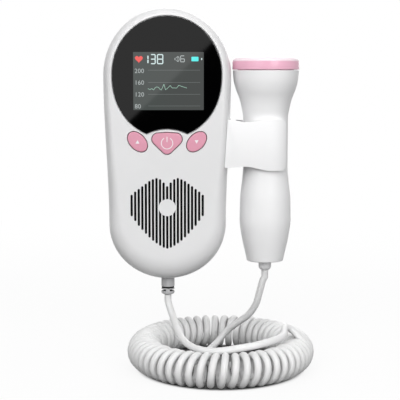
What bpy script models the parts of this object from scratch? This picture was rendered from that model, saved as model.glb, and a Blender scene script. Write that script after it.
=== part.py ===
"""Pocket fetal doppler: a display unit with three keys and a heart-shaped speaker grille,
a hand probe held by a snap clip on its right side, and a curly cord between the two.

Metres, +Z up. The origin is the centre of the flat back face. The front looks along -Y,
and +X is to the right of someone who reads the display.
"""

import math

import bmesh
import bpy
from mathutils import Vector

# Clearances that every piece shares
GAP = 0.0003
OVERRUN = 0.0010

# Display unit: outline seen from the front
TOP_HALF_WIDTH = 0.0328
TOP_RISE = 0.0345
TOP_CENTRE_Z = 0.0350
FOOT_HALF_WIDTH = 0.0302
FOOT_DROP = 0.0283
FOOT_CENTRE_Z = -0.0412
TOP_STEPS = 18
SIDE_STEPS = 4
FOOT_STEPS = 14

# Display unit: depth, walls and edge rounding
CASE_DEPTH = 0.0320
PARTING_DEPTH = 0.0160
CASE_WALL = 0.0020
FACE_WALL = 0.0026
CASE_DRAFT = 0.0003
BACK_ROUND = 0.0065
FRONT_ROUND_DEPTH = 0.0090
FRONT_ROUND_TOP = 0.0042
FRONT_ROUND_FOOT = 0.0120
ROUND_STEPS = 4

# Glossy lens, set in a shallow recess of the face
LENS_HALF_WIDTH = 0.02755
LENS_CENTRE_Z = 0.0356
LENS_RISE = 0.0289
LENS_DROP = 0.0321
LENS_DROP_POWER = 2.25
LENS_TIP_HALF_WIDTH = 0.0102
LENS_ARCH_Z = 0.0080
LENS_THICKNESS = 0.0012
LENS_PROUD = 0.0002
LENS_EDGE = 0.0003
LENS_STEPS = 10
LENS_TIP_CUT_SHARE = 0.94
LENS_TIP_SHARE = 0.9

# Display module behind the lens
SCREEN_X = 0.0008
SCREEN_Z = 0.0321
SCREEN_HALF_WIDTH = 0.0177
SCREEN_HALF_HEIGHT = 0.0145
SCREEN_MARGIN = 0.0008
MODULE_BORDER = 0.0026
MODULE_THICKNESS = 0.0030
SCREEN_CORNER = 0.0008

# Keys
KEY_TRAVEL = 0.0005
KEY_CLEARANCE = 0.00035
KEY_PROUD = 0.0007
KEY_EDGE = 0.0004
KEY_FLANGE = 0.0009
KEY_FLANGE_THICKNESS = 0.0011
KEY_STEM_RADIUS = 0.0016
POWER_CORNER = 0.0030
POWER_HALF_WIDTH = 0.0076
POWER_SHOULDER_Z = 0.0029
POWER_CROWN = 0.0003
POWER_TIP_Z = -0.0046
SIDE_KEY_X = 0.0149
SIDE_KEY_Z = 0.0016
SIDE_KEY_LONG = 0.0059
SIDE_KEY_SHORT = 0.00385
SIDE_KEY_TILT = math.radians(46)
KEY_OUTLINE_STEPS = 24

# Key switches on the board
SWITCH_SIZE = 0.0060
SWITCH_HEIGHT = 0.0034
SWITCH_FLOOR = 0.0004
PLUNGER_RADIUS = 0.00155
PLUNGER_PROUD = 0.0010

# Board, its screw bosses and screws
BOARD_THICKNESS = 0.0016
BOARD_BACK_DEPTH = 0.0200
BOARD_INSET = 0.0035
BOARD_FOOT_Z = -0.0108
BOSS_RADIUS = 0.0032
BOSS_SHOULDER = 0.0008
BOSS_BITE = 0.0005
PILLAR_RADIUS = 0.0036
SCREW_RADIUS = 0.0010
SCREW_LENGTH = 0.0170
SCREW_HEAD_RADIUS = 0.0021
SCREW_HEAD_HEIGHT = 0.0015
SCREW_RECESS_DEPTH = 0.0060
SCREW_TOP_X = 0.0165
SCREW_TOP_Z = 0.0550
SCREW_FOOT_X = 0.0230
SCREW_FOOT_Z = -0.0440

# Speaker grille: upright slots under a heart outline, with a blank disc in the middle
GRILLE_HALF_WIDTH = 0.0180
GRILLE_CENTRE_Z = -0.0318
GRILLE_SLOT_WIDTH = 0.0010
GRILLE_SIDE_SLOTS = 10
GRILLE_DISC_RADIUS = 0.0043
HEART_TOP_SHARES = (0.604, 0.709, 0.802, 0.835, 0.802, 0.753, 0.676, 0.604, 0.527, 0.451, 0.363)
HEART_FOOT_SHARES = (1.159, 1.132, 1.077, 1.011, 0.934, 0.841, 0.736, 0.626, 0.511, 0.374, 0.236)

# Speaker behind the grille
SPEAKER_Z = -0.0331
SPEAKER_RADIUS = 0.0203
SPEAKER_DEPTH = 0.0062
SPEAKER_RIM = 0.0014
SPEAKER_SEAT_WALL = 0.0011
SPEAKER_SEAT_HEIGHT = 0.0026
MAGNET_RADIUS = 0.0090
MAGNET_HEIGHT = 0.0028
CLOTH_THICKNESS = 0.0003
DUST_CAP_RADIUS = 0.0060
CONE_DEPTH = 0.0020
SPEAKER_STEPS = 24

# Battery bay and cover in the back
CELL_RADIUS = 0.00705
CELL_LENGTH = 0.0493
CELL_NUB_RADIUS = 0.00275
CELL_NUB_HEIGHT = 0.0012
CELL_EDGE = 0.0006
CELL_SIDE_CLEARANCE = 0.0004
CELL_PITCH = 0.0148
BAY_FOOT_Z = -0.0587
BAY_SPRING_ROOM = 0.0049
BAY_SIDE_MARGIN = 0.0022
BAY_CORNER = 0.0040
BAY_WALL = 0.0014
COVER_THICKNESS = 0.0020
COVER_BEAD = 0.00025
COVER_BEAD_HALF_WIDTH = 0.0050
HOOK_HALF_WIDTH = 0.0024
HOOK_THICKNESS = 0.0013
HOOK_REACH = 0.0018
HOOK_ROOT = 0.0012
HOOK_POCKET_MARGIN = 0.0008
GRIP_RIBS = 5
GRIP_RIB_PITCH = 0.0022
GRIP_RIB_WIDTH = 0.0009
GRIP_RIB_DEPTH = 0.0006
GRIP_HALF_WIDTH = 0.0070
GRIP_FOOT_MARGIN = 0.0050
CONTACT_THICKNESS = 0.0004
CONTACT_HALF_WIDTH = 0.0050
SPRING_WIRE = 0.0005
SPRING_TURNS = 3
SPRING_LARGE_RADIUS = 0.0046
SPRING_SMALL_RADIUS = 0.0018
SPRING_STEPS = 8

# Snap clip on the right side
CLIP_WALL = 0.0022
CLIP_WEB = 0.0024
CLIP_REACH = math.radians(51)
CLIP_LEFT_X = 0.0294
CLIP_REACH_X = 0.0098
CLIP_TOP_Z = 0.0127
CLIP_FOOT_Z = -0.0118
CLIP_WAIST = 0.0013
CLIP_FOOT_FLARE = 0.0016
CLIP_CORNER = 0.0026
CLIP_FILLET = 0.0020
CLIP_EDGE_STEPS = 8
CLIP_ARC_STEPS = 8

# Hand probe: a turned handle on its own upright axis
PROBE_HEAD_SPACE = 0.0006
PROBE_DEPTH = 0.0160
PROBE_FOOT_Z = -0.0611
PROBE_LENGTH = 0.1053
PROBE_HEAD_RADIUS = 0.0172
PROBE_WALL = 0.0020
PROBE_SEGMENTS = 36
PROBE_HEIGHT_SHARES = (0.0, 0.055, 0.11, 0.205, 0.3, 0.4, 0.47, 0.705, 0.76, 0.8, 0.85, 0.89, 0.937)
PROBE_RADIUS_SHARES = (0.545, 0.62, 0.695, 0.77, 0.76, 0.7, 0.668, 0.672, 0.725, 0.79, 0.905, 0.965, 0.988)
PROBE_FOOT_EDGE = 0.0008

# Probe head and what it holds
RING_HEIGHT = 0.0063
RING_ROUND = 0.0022
RING_LIP = 0.0028
RING_SKIRT = 0.0034
RING_SHELF = 0.0015
FACE_THICKNESS = 0.0033
FACE_DOME = 0.0004
CRYSTAL_SHARE = 0.64
CRYSTAL_THICKNESS = 0.0020
CRYSTAL_SPLIT = 0.0010
BACKING_THICKNESS = 0.0035
PROBE_BOARD_HALF_WIDTH = 0.0065
PROBE_BOARD_THICKNESS = 0.0012
PROBE_BOARD_LENGTH = 0.0500

# Strain reliefs
RELIEF_RADIUS = 0.00345
RELIEF_FLANGE = 0.0015
RELIEF_FLANGE_HEIGHT = 0.0015
RELIEF_PLAIN_LENGTH = 0.0046
RELIEF_LENGTH = 0.0092
RELIEF_GROOVE = 0.0009
RELIEF_GROOVES = 2
RELIEF_CORE_RADIUS = 0.0021
RELIEF_END_RADIUS = 0.0025
RELIEF_SEGMENTS = 16
PROBE_RELIEF_RADIUS = 0.0037
PROBE_RELIEF_LENGTH = 0.0045
PROBE_RELIEF_NECK = 0.0026

# Curly cord: one helix whose axis is an oval on the surface below
CORD_DIAMETER = 0.0036
CURL_RADIUS = 0.0069
CURL_POINTS = 8
CURL_TURNS = 56
CURL_PITCH_FRONT = 0.00473
CURL_PITCH_BACK = 0.00508
CURL_STAGGER = 0.00105
CURL_START_PHASE = math.radians(315)
CURL_END_PHASE = math.radians(90)
RING_X = 0.0273
RING_Y = -0.0240
RING_FLOOR_Z = -0.1152
RING_HALF_WIDTH = 0.0395
RING_HALF_DEPTH = 0.0480
RING_START = math.radians(-13)
LEAD_STEP_DIAMETERS = 2.2

# Route of the lead from the unit: down, forward over the oval's near side, along it and over its end
UNIT_LEAD_ROUTE = (
    (0.0010, -0.0175, -0.0858),
    (0.0030, -0.0230, -0.0905),
    (0.0054, -0.0330, -0.0950),
    (0.0086, -0.0440, -0.0980),
    (0.0137, -0.0540, -0.0993),
    (0.0205, -0.0605, -0.0995),
    (0.0273, -0.0633, -0.0987),
    (0.0350, -0.0638, -0.0974),
    (0.0428, -0.0615, -0.0966),
    (0.0508, -0.0562, -0.0957),
    (0.0566, -0.0497, -0.0952),
    (0.0588, -0.0440, -0.0945),
    (0.0592, -0.0388, -0.0936),
    (0.0604, -0.0348, -0.0931),
    (0.0629, -0.0332, -0.0938),
)
# Route of the lead from the oval's end: over the floor inside it, then up to the probe
PROBE_LEAD_ROUTE = (
    (0.0560, -0.0280, -0.1134),
    (0.0470, -0.0295, -0.1134),
    (0.0370, -0.0310, -0.1134),
    (0.0275, -0.0298, -0.1134),
    (0.0205, -0.0235, -0.1134),
    (0.0183, -0.0145, -0.1132),
    (0.0206, -0.0050, -0.1122),
    (0.0258, 0.0012, -0.1085),
    (0.0314, 0.0012, -0.1020),
    (0.0372, -0.0030, -0.0964),
    (0.0424, -0.0075, -0.0917),
    (0.0462, -0.0115, -0.0852),
    (0.0481, -0.0142, -0.0778),
    (0.0494, -0.0157, -0.0722),
)

# Finishes: base colour, roughness, metallic
FINISHES = {
    "case_white": ((0.80, 0.80, 0.81), 0.28, 0.0),
    "probe_white": ((0.84, 0.84, 0.85), 0.22, 0.0),
    "pink": ((0.72, 0.33, 0.43), 0.35, 0.0),
    "ring_pink": ((0.80, 0.42, 0.55), 0.28, 0.0),
    "lens_black": ((0.008, 0.008, 0.009), 0.08, 0.0),
    "display_grey": ((0.10, 0.11, 0.11), 0.30, 0.0),
    "board_green": ((0.03, 0.16, 0.07), 0.45, 0.0),
    "dark_plastic": ((0.02, 0.02, 0.02), 0.50, 0.0),
    "cloth_black": ((0.01, 0.01, 0.01), 0.90, 0.0),
    "steel": ((0.60, 0.60, 0.58), 0.30, 1.0),
    "cell_wrap": ((0.05, 0.07, 0.10), 0.35, 0.0),
    "relief_grey": ((0.45, 0.45, 0.46), 0.45, 0.0),
    "cord_white": ((0.78, 0.78, 0.79), 0.42, 0.0),
    "face_cream": ((0.82, 0.66, 0.70), 0.30, 0.0),
    "crystal": ((0.50, 0.46, 0.34), 0.40, 0.0),
    "backing_brown": ((0.20, 0.15, 0.10), 0.80, 0.0),
}


def clear_scene():
    for old in list(bpy.data.objects):
        bpy.data.objects.remove(old, do_unlink=True)


def finish(name):
    """The named finish as a material, made once."""
    found = bpy.data.materials.get(name)
    if found:
        return found
    colour, roughness, metallic = FINISHES[name]
    made = bpy.data.materials.new(name)
    made.use_nodes = True
    shader = made.node_tree.nodes["Principled BSDF"]
    shader.inputs["Base Color"].default_value = (*colour, 1.0)
    shader.inputs["Roughness"].default_value = roughness
    shader.inputs["Metallic"].default_value = metallic
    made.diffuse_color = (*colour, 1.0)
    return made


def add_object(name, shape, material=None, smooth=None):
    """Turn a bmesh into an object; one without a material is a cutter and stays unseen."""
    bmesh.ops.recalc_face_normals(shape, faces=shape.faces)
    mesh = bpy.data.meshes.new(name)
    shape.to_mesh(mesh)
    shape.free()
    made = bpy.data.objects.new(name, mesh)
    bpy.context.collection.objects.link(made)
    if material:
        mesh.materials.append(finish(material))
    else:
        made.hide_render = True
        made.display_type = "WIRE"
    if smooth:
        mesh.shade_smooth()
        mesh.set_sharp_from_angle(angle=smooth)
    return made


SMOOTH = math.radians(35)


def boolean(target, cutter, operation="DIFFERENCE"):
    step = target.modifiers.new(operation.lower(), "BOOLEAN")
    step.operation = operation
    step.solver = "EXACT"
    step.object = cutter


def bevel(target, width, segments=1):
    step = target.modifiers.new("edge", "BEVEL")
    step.width = width
    step.segments = segments
    step.limit_method = "ANGLE"
    step.angle_limit = math.radians(50)


# Outlines are lists of (x, z) points that run once around


def rounded_hull(centres, radius, steps=4):
    """The outline at one radius around a convex ring of centres, listed anticlockwise."""
    count = len(centres)
    outline = []
    for i, (x, z) in enumerate(centres):
        before = centres[i - 1]
        after = centres[(i + 1) % count]
        start = math.atan2(-(x - before[0]), z - before[1])
        end = math.atan2(-(after[0] - x), after[1] - z)
        turn = (end - start) % math.tau
        for s in range(steps + 1):
            a = start + turn * s / steps
            outline.append((x + radius * math.cos(a), z + radius * math.sin(a)))
    return outline


def rounded_box(x, z, half_width, half_height, corner, steps=4):
    dx = half_width - corner
    dz = half_height - corner
    centres = ((x - dx, z - dz), (x + dx, z - dz), (x + dx, z + dz), (x - dx, z + dz))
    return rounded_hull(centres, corner, steps)


def circle(x, z, radius, steps):
    turns = (math.tau * s / steps for s in range(steps))
    return [(x + radius * math.cos(a), z + radius * math.sin(a)) for a in turns]


def grown(outline, distance):
    """The outline moved outwards by a distance, corner by corner."""
    count = len(outline)
    area = sum(outline[i - 1][0] * outline[i][1] - outline[i][0] * outline[i - 1][1] for i in range(count))
    side = 1 if area > 0 else -1
    moved = []
    for i in range(count):
        here = Vector(outline[i])
        one = (here - Vector(outline[i - 1])).normalized()
        two = (Vector(outline[(i + 1) % count]) - here).normalized()
        normal = (Vector((one.y, -one.x)) + Vector((two.y, -two.x))).normalized()
        reach = max(normal.dot(Vector((one.y, -one.x))), 0.5)
        moved.append(tuple(here + normal * (side * distance / reach)))
    return moved


# Solids


def loft(rings, close=False):
    """A closed solid through rings of points, capped at both ends unless it closes on itself."""
    shape = bmesh.new()
    rows = [[shape.verts.new(point) for point in ring] for ring in rings]
    count = len(rows[0])
    pairs = list(zip(rows, rows[1:]))
    if close:
        pairs.append((rows[-1], rows[0]))
    for low, high in pairs:
        for i in range(count):
            j = (i + 1) % count
            shape.faces.new((low[i], low[j], high[j], high[i]))
    if not close:
        shape.faces.new(rows[0])
        shape.faces.new(rows[-1])
    return shape


def prism(outline, back, front):
    """An outline seen from the front, extruded between two depths behind and before it."""
    return loft([[(x, -depth, z) for x, z in outline] for depth in (back, front)])


def upright_prism(outline, low, high):
    """An outline seen from above, as (x, depth) points, extruded between two heights."""
    return loft([[(x, -depth, z) for x, depth in outline] for z in (low, high)])


def box(low, high):
    """A box between two corners, each given as (x, depth, z)."""
    outline = [(low[0], low[2]), (high[0], low[2]), (high[0], high[2]), (low[0], high[2])]
    return prism(outline, low[1], high[1])


def turned(profile, segments, place):
    """Turn a profile of (radius, height) points; place gives the world point of each one."""
    rings = []
    for s in range(segments):
        a = math.tau * s / segments
        rings.append([place(r * math.cos(a), r * math.sin(a), h) for r, h in profile])
    return loft(rings, close=True)


def turned_solid(profile, segments, place):
    """Like turned, for a profile whose first and last points lie on the axis."""
    shape = bmesh.new()
    first = shape.verts.new(place(0, 0, profile[0][1]))
    last = shape.verts.new(place(0, 0, profile[-1][1]))
    rows = []
    for r, h in profile[1:-1]:
        turns = [math.tau * s / segments for s in range(segments)]
        rows.append([shape.verts.new(place(r * math.cos(a), r * math.sin(a), h)) for a in turns])
    for i in range(segments):
        j = (i + 1) % segments
        shape.faces.new((first, rows[0][i], rows[0][j]))
        shape.faces.new((last, rows[-1][j], rows[-1][i]))
        for low, high in zip(rows, rows[1:]):
            shape.faces.new((low[i], high[i], high[j], low[j]))
    return shape


def upright_axis(x, depth):
    """Places turned points round an upright axis, where height is z."""
    return lambda u, v, h: (x + u, v - depth, h)


def facing_axis(x, z):
    """Places turned points round a front-to-back axis, where height is depth."""
    return lambda u, v, h: (x + u, -h, z + v)


def tube(name, points, diameter, resolution, material):
    """A round tube along points, with closed ends."""
    curve = bpy.data.curves.new(name, "CURVE")
    curve.dimensions = "3D"
    curve.bevel_depth = diameter / 2
    curve.bevel_resolution = resolution
    curve.use_fill_caps = True
    line = curve.splines.new("POLY")
    line.points.add(len(points) - 1)
    for spot, point in zip(line.points, points):
        spot.co = (*point, 1.0)
    curve.materials.append(finish(material))
    made = bpy.data.objects.new(name, curve)
    bpy.context.collection.objects.link(made)
    return made


# The casing's outline and shells


def ease(t):
    t = min(max(t, 0.0), 1.0)
    return t * t * (3 - 2 * t)


def case_point(k, inset):
    """Point k of the casing's outline, moved inwards by inset."""
    if k <= TOP_STEPS:
        a = math.pi * k / TOP_STEPS
        return (TOP_HALF_WIDTH - inset) * math.cos(a), TOP_CENTRE_Z + (TOP_RISE - inset) * math.sin(a)
    k -= TOP_STEPS
    if k < SIDE_STEPS:
        return left_side(k / SIDE_STEPS, inset)
    k -= SIDE_STEPS
    if k <= FOOT_STEPS:
        a = math.pi + math.pi * k / FOOT_STEPS
        return (FOOT_HALF_WIDTH - inset) * math.cos(a), FOOT_CENTRE_Z + (FOOT_DROP - inset) * math.sin(a)
    k -= FOOT_STEPS
    x, z = left_side(1 - k / SIDE_STEPS, inset)
    return -x, z


def left_side(t, inset):
    """A point of the left flank, from the top's centre height at 0 to the foot's at 1."""
    width = TOP_HALF_WIDTH + (FOOT_HALF_WIDTH - TOP_HALF_WIDTH) * ease(t)
    return inset - width, TOP_CENTRE_Z + (FOOT_CENTRE_Z - TOP_CENTRE_Z) * t


CASE_POINTS = TOP_STEPS + FOOT_STEPS + 2 * SIDE_STEPS


def case_outline(inset):
    return [case_point(k, inset) for k in range(CASE_POINTS)]


def front_round(z):
    """How far the front's rounding reaches inwards: little at the top, wide at the foot."""
    foot = FOOT_CENTRE_Z - FOOT_DROP
    t = max((z - TOP_CENTRE_Z) / (foot - TOP_CENTRE_Z), 0.0)
    return FRONT_ROUND_TOP + (FRONT_ROUND_FOOT - FRONT_ROUND_TOP) * t ** 2.4


def case_ring(depth, inset_at):
    ring = []
    for k in range(CASE_POINTS):
        x, z = case_point(k, inset_at(case_point(k, 0)[1]))
        ring.append((x, -depth, z))
    return ring


def front_rings(wall, face_wall):
    """Rings of the front's skin from its rim to its flat face, sunk by a wall."""
    rim = CASE_DEPTH - FRONT_ROUND_DEPTH
    rings = [case_ring(PARTING_DEPTH + GAP / 2, lambda z: wall)]
    for s in range(ROUND_STEPS + 1):
        a = math.pi / 2 * s / ROUND_STEPS
        depth = rim + (FRONT_ROUND_DEPTH - face_wall) * math.sin(a)
        inward = 1 - math.cos(a)
        sunk = CASE_DRAFT + wall * math.cos(a)
        rings.append(case_ring(depth, lambda z: sunk + front_round(z) * inward))
    return rings


def back_rings(wall):
    """Rings of the back's skin from its rim to its flat face, sunk by a wall."""
    rings = [case_ring(PARTING_DEPTH - GAP / 2, lambda z: wall)]
    for s in range(ROUND_STEPS + 1):
        a = math.pi / 2 * s / ROUND_STEPS
        depth = wall + (BACK_ROUND - wall) * (1 - math.sin(a))
        inset = CASE_DRAFT + BACK_ROUND * (1 - math.cos(a)) + wall * math.cos(a)
        rings.append(case_ring(depth, lambda z: inset))
    return rings


def shell(outer, inner):
    return loft(outer[::-1] + inner)


SCREW_PLACES = (
    (-SCREW_TOP_X, SCREW_TOP_Z),
    (SCREW_TOP_X, SCREW_TOP_Z),
    (-SCREW_FOOT_X, SCREW_FOOT_Z),
    (SCREW_FOOT_X, SCREW_FOOT_Z),
)
FACE_INSIDE = CASE_DEPTH - FACE_WALL
BOARD_FRONT_DEPTH = BOARD_BACK_DEPTH + BOARD_THICKNESS
LENS_FRONT = CASE_DEPTH + LENS_PROUD
LENS_BACK = LENS_FRONT - LENS_THICKNESS
RECESS_FLOOR = LENS_BACK - GAP
BOSS_STEPS = 16
PILOT_RADIUS = SCREW_RADIUS + GAP


def lens_outline():
    """Ellipse above, fuller curve below, cut by a hollow arch over the power key."""
    tip = (1 - (LENS_TIP_HALF_WIDTH / LENS_HALF_WIDTH) ** 2) ** (1 / LENS_DROP_POWER)
    tip_z = LENS_CENTRE_Z - LENS_DROP * tip
    arch = LENS_ARCH_Z - tip_z
    radius = (LENS_TIP_HALF_WIDTH ** 2 + arch ** 2) / (2 * arch)
    half = []
    for s in range(5):
        x = LENS_TIP_HALF_WIDTH * LENS_TIP_CUT_SHARE * s / 4
        half.append((x, LENS_ARCH_Z - radius + math.sqrt(radius ** 2 - x ** 2)))
    for s in range(LENS_STEPS):
        t = tip * math.cos(math.pi / 2 * (s + LENS_TIP_SHARE) / (LENS_STEPS + LENS_TIP_SHARE))
        half.append((LENS_HALF_WIDTH * math.sqrt(1 - t ** LENS_DROP_POWER), LENS_CENTRE_Z - LENS_DROP * t))
    for s in range(LENS_STEPS):
        a = math.pi / 2 * s / LENS_STEPS
        half.append((LENS_HALF_WIDTH * math.cos(a), LENS_CENTRE_Z + LENS_RISE * math.sin(a)))
    top = [(0.0, LENS_CENTRE_Z + LENS_RISE)]
    return half + top + [(-x, z) for x, z in half[:0:-1]]


def power_outline():
    """A soft shield: nearly flat above with a light crown, drawn to a round tip below."""
    x = POWER_HALF_WIDTH - POWER_CORNER
    centres = (
        (0.0, POWER_TIP_Z + POWER_CORNER),
        (x, POWER_SHOULDER_Z),
        (0.0, POWER_SHOULDER_Z + POWER_CROWN),
        (-x, POWER_SHOULDER_Z),
    )
    return rounded_hull(centres, POWER_CORNER, 5)


def side_key_outline(side):
    """A leaf-like oval that leans outwards at its upper end; side is -1 for left, 1 for right."""
    outline = []
    for s in range(KEY_OUTLINE_STEPS):
        a = math.tau * s / KEY_OUTLINE_STEPS
        long = SIDE_KEY_LONG * math.cos(a)
        short = SIDE_KEY_SHORT * math.sin(a)
        x = long * math.cos(SIDE_KEY_TILT) - short * math.sin(SIDE_KEY_TILT)
        z = long * math.sin(SIDE_KEY_TILT) + short * math.cos(SIDE_KEY_TILT)
        outline.append((side * (SIDE_KEY_X + x), SIDE_KEY_Z + z))
    return outline


KEYS = {
    "power": (0.0, (POWER_SHOULDER_Z + POWER_TIP_Z + POWER_CORNER) / 2, power_outline()),
    "up": (-SIDE_KEY_X, SIDE_KEY_Z, side_key_outline(-1)),
    "down": (SIDE_KEY_X, SIDE_KEY_Z, side_key_outline(1)),
}


def screen_window(margin):
    return rounded_box(
        SCREEN_X,
        SCREEN_Z,
        SCREEN_HALF_WIDTH + margin,
        SCREEN_HALF_HEIGHT + margin,
        SCREEN_CORNER + margin,
    )


def grille_slots():
    """All slots in one cutter, less the blank disc in the heart's middle."""
    cutter = bmesh.new()
    pitch = GRILLE_HALF_WIDTH / GRILLE_SIDE_SLOTS
    end = GRILLE_SLOT_WIDTH / 2
    for column in range(-GRILLE_SIDE_SLOTS, GRILLE_SIDE_SLOTS + 1):
        x = pitch * column
        top = GRILLE_CENTRE_Z + GRILLE_HALF_WIDTH * HEART_TOP_SHARES[abs(column)]
        foot = GRILLE_CENTRE_Z - GRILLE_HALF_WIDTH * HEART_FOOT_SHARES[abs(column)]
        outline = []
        for centre, first in ((foot + end, math.pi), (top - end, 0.0)):
            for s in range(4):
                a = first + math.pi * s / 3
                outline.append((x + end * math.cos(a), centre + end * math.sin(a)))
        rows = []
        for depth in (FACE_INSIDE - OVERRUN, CASE_DEPTH + OVERRUN):
            rows.append([cutter.verts.new((px, -depth, pz)) for px, pz in outline])
        cutter.faces.new(rows[0])
        cutter.faces.new(rows[1])
        for i in range(len(outline)):
            j = (i + 1) % len(outline)
            cutter.faces.new((rows[0][i], rows[0][j], rows[1][j], rows[1][i]))
    slots = add_object("cut_grille_slots", cutter)
    disc = circle(0.0, GRILLE_CENTRE_Z, GRILLE_DISC_RADIUS, 18)
    blank = prism(disc, FACE_INSIDE - 2 * OVERRUN, CASE_DEPTH + 2 * OVERRUN)
    boolean(slots, add_object("cut_grille_disc", blank))
    return slots


def relief_hole(name):
    radius = RELIEF_RADIUS + GAP
    foot = FOOT_CENTRE_Z - FOOT_DROP
    ring = [(x, z) for x, z in circle(0.0, PARTING_DEPTH, radius, RELIEF_SEGMENTS)]
    return add_object(name, upright_prism(ring, foot - OVERRUN, foot + 2 * CASE_WALL))


def build_front_shell():
    front = add_object(
        "front_shell",
        shell(front_rings(0.0, 0.0), front_rings(CASE_WALL, FACE_WALL)),
        "case_white",
        SMOOTH,
    )
    # Bosses that take the screws; the upper pair has shoulders for the board
    for number, (x, z) in enumerate(SCREW_PLACES):
        root = FACE_INSIDE + BOSS_BITE
        boss = circle(x, z, BOSS_RADIUS, BOSS_STEPS)
        boolean(front, add_object(f"boss_{number}", prism(boss, PARTING_DEPTH + GAP / 2, root)), "UNION")
        if z > 0:
            ledge = circle(x, z, BOSS_RADIUS + BOSS_SHOULDER, BOSS_STEPS)
            shoulder = prism(ledge, BOARD_FRONT_DEPTH + GAP, root)
            boolean(front, add_object(f"ledge_{number}", shoulder), "UNION")
    # Seat ring round the speaker
    seat_inner = SPEAKER_RADIUS + 2 * GAP
    profile = [
        (seat_inner, FACE_INSIDE + BOSS_BITE),
        (seat_inner + SPEAKER_SEAT_WALL, FACE_INSIDE + BOSS_BITE),
        (seat_inner + SPEAKER_SEAT_WALL, FACE_INSIDE - SPEAKER_SEAT_HEIGHT),
        (seat_inner, FACE_INSIDE - SPEAKER_SEAT_HEIGHT),
    ]
    seat = add_object("speaker_seat", turned(profile, SPEAKER_STEPS, facing_axis(0.0, SPEAKER_Z)))
    boolean(front, seat, "UNION")
    # Lens recess, display window, key holes, slots, screw pilots and the cord's exit
    recess = add_object("cut_lens", prism(grown(lens_outline(), GAP), RECESS_FLOOR, CASE_DEPTH + OVERRUN))
    boolean(front, recess)
    window = add_object("cut_window", prism(screen_window(SCREEN_MARGIN), FACE_INSIDE - OVERRUN, CASE_DEPTH))
    boolean(front, window)
    for key, (x, z, outline) in KEYS.items():
        hole = prism(grown(outline, KEY_CLEARANCE), FACE_INSIDE - OVERRUN, CASE_DEPTH + OVERRUN)
        boolean(front, add_object(f"cut_{key}_hole", hole))
    boolean(front, grille_slots())
    for number, (x, z) in enumerate(SCREW_PLACES):
        pilot = circle(x, z, PILOT_RADIUS, 10)
        boolean(front, add_object(f"cut_pilot_{number}", prism(pilot, PARTING_DEPTH - OVERRUN, FACE_INSIDE)))
    boolean(front, relief_hole("cut_front_exit"))


# The battery bay, cells and cover

BAY_HALF_WIDTH = CELL_PITCH / 2 + CELL_RADIUS + BAY_SIDE_MARGIN
BAY_LENGTH = CELL_LENGTH + BAY_SPRING_ROOM
BAY_TOP_Z = BAY_FOOT_Z + BAY_LENGTH
BAY_CENTRE_Z = (BAY_TOP_Z + BAY_FOOT_Z) / 2
CELL_DEPTH = COVER_THICKNESS + CELL_SIDE_CLEARANCE + CELL_RADIUS
BAY_FLOOR_DEPTH = CELL_DEPTH + CELL_RADIUS + CELL_SIDE_CLEARANCE


def bay_outline(margin):
    return rounded_box(
        0.0,
        BAY_CENTRE_Z,
        BAY_HALF_WIDTH + margin,
        BAY_LENGTH / 2 + margin,
        BAY_CORNER + margin,
    )


def build_rear_shell():
    rear = add_object("rear_shell", shell(back_rings(0.0), back_rings(CASE_WALL)), "case_white", SMOOTH)
    tub = prism(bay_outline(BAY_WALL), CASE_WALL / 2, BAY_FLOOR_DEPTH + BAY_WALL)
    boolean(rear, add_object("bay_tub", tub), "UNION")
    for number, (x, z) in enumerate(SCREW_PLACES):
        pillar = prism(circle(x, z, PILLAR_RADIUS, BOSS_STEPS), CASE_WALL / 2, PARTING_DEPTH - GAP / 2)
        boolean(rear, add_object(f"pillar_{number}", pillar), "UNION")
    # A pocket above the bay for the cover's hook
    half = HOOK_HALF_WIDTH + 2 * GAP
    reach = COVER_THICKNESS + HOOK_THICKNESS + HOOK_POCKET_MARGIN
    outer = box(
        (-half - BAY_WALL, CASE_WALL / 2, BAY_TOP_Z - OVERRUN),
        (half + BAY_WALL, reach + BAY_WALL, BAY_TOP_Z + HOOK_REACH + GAP + BAY_WALL),
    )
    boolean(rear, add_object("hook_housing", outer), "UNION")
    boolean(rear, add_object("cut_bay", prism(bay_outline(0.0), -OVERRUN, BAY_FLOOR_DEPTH)))
    pocket = box(
        (-half, COVER_THICKNESS - GAP, BAY_TOP_Z - 2 * OVERRUN),
        (half, reach, BAY_TOP_Z + HOOK_REACH + GAP),
    )
    boolean(rear, add_object("cut_hook_pocket", pocket))
    for number, (x, z) in enumerate(SCREW_PLACES):
        head = circle(x, z, SCREW_HEAD_RADIUS + 2 * GAP, BOSS_STEPS)
        boolean(rear, add_object(f"cut_head_{number}", prism(head, -OVERRUN, SCREW_RECESS_DEPTH)))
        shank = circle(x, z, PILOT_RADIUS, 10)
        boolean(rear, add_object(f"cut_shank_{number}", prism(shank, 0.0, PARTING_DEPTH + OVERRUN)))
    boolean(rear, relief_hole("cut_rear_exit"))


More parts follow.
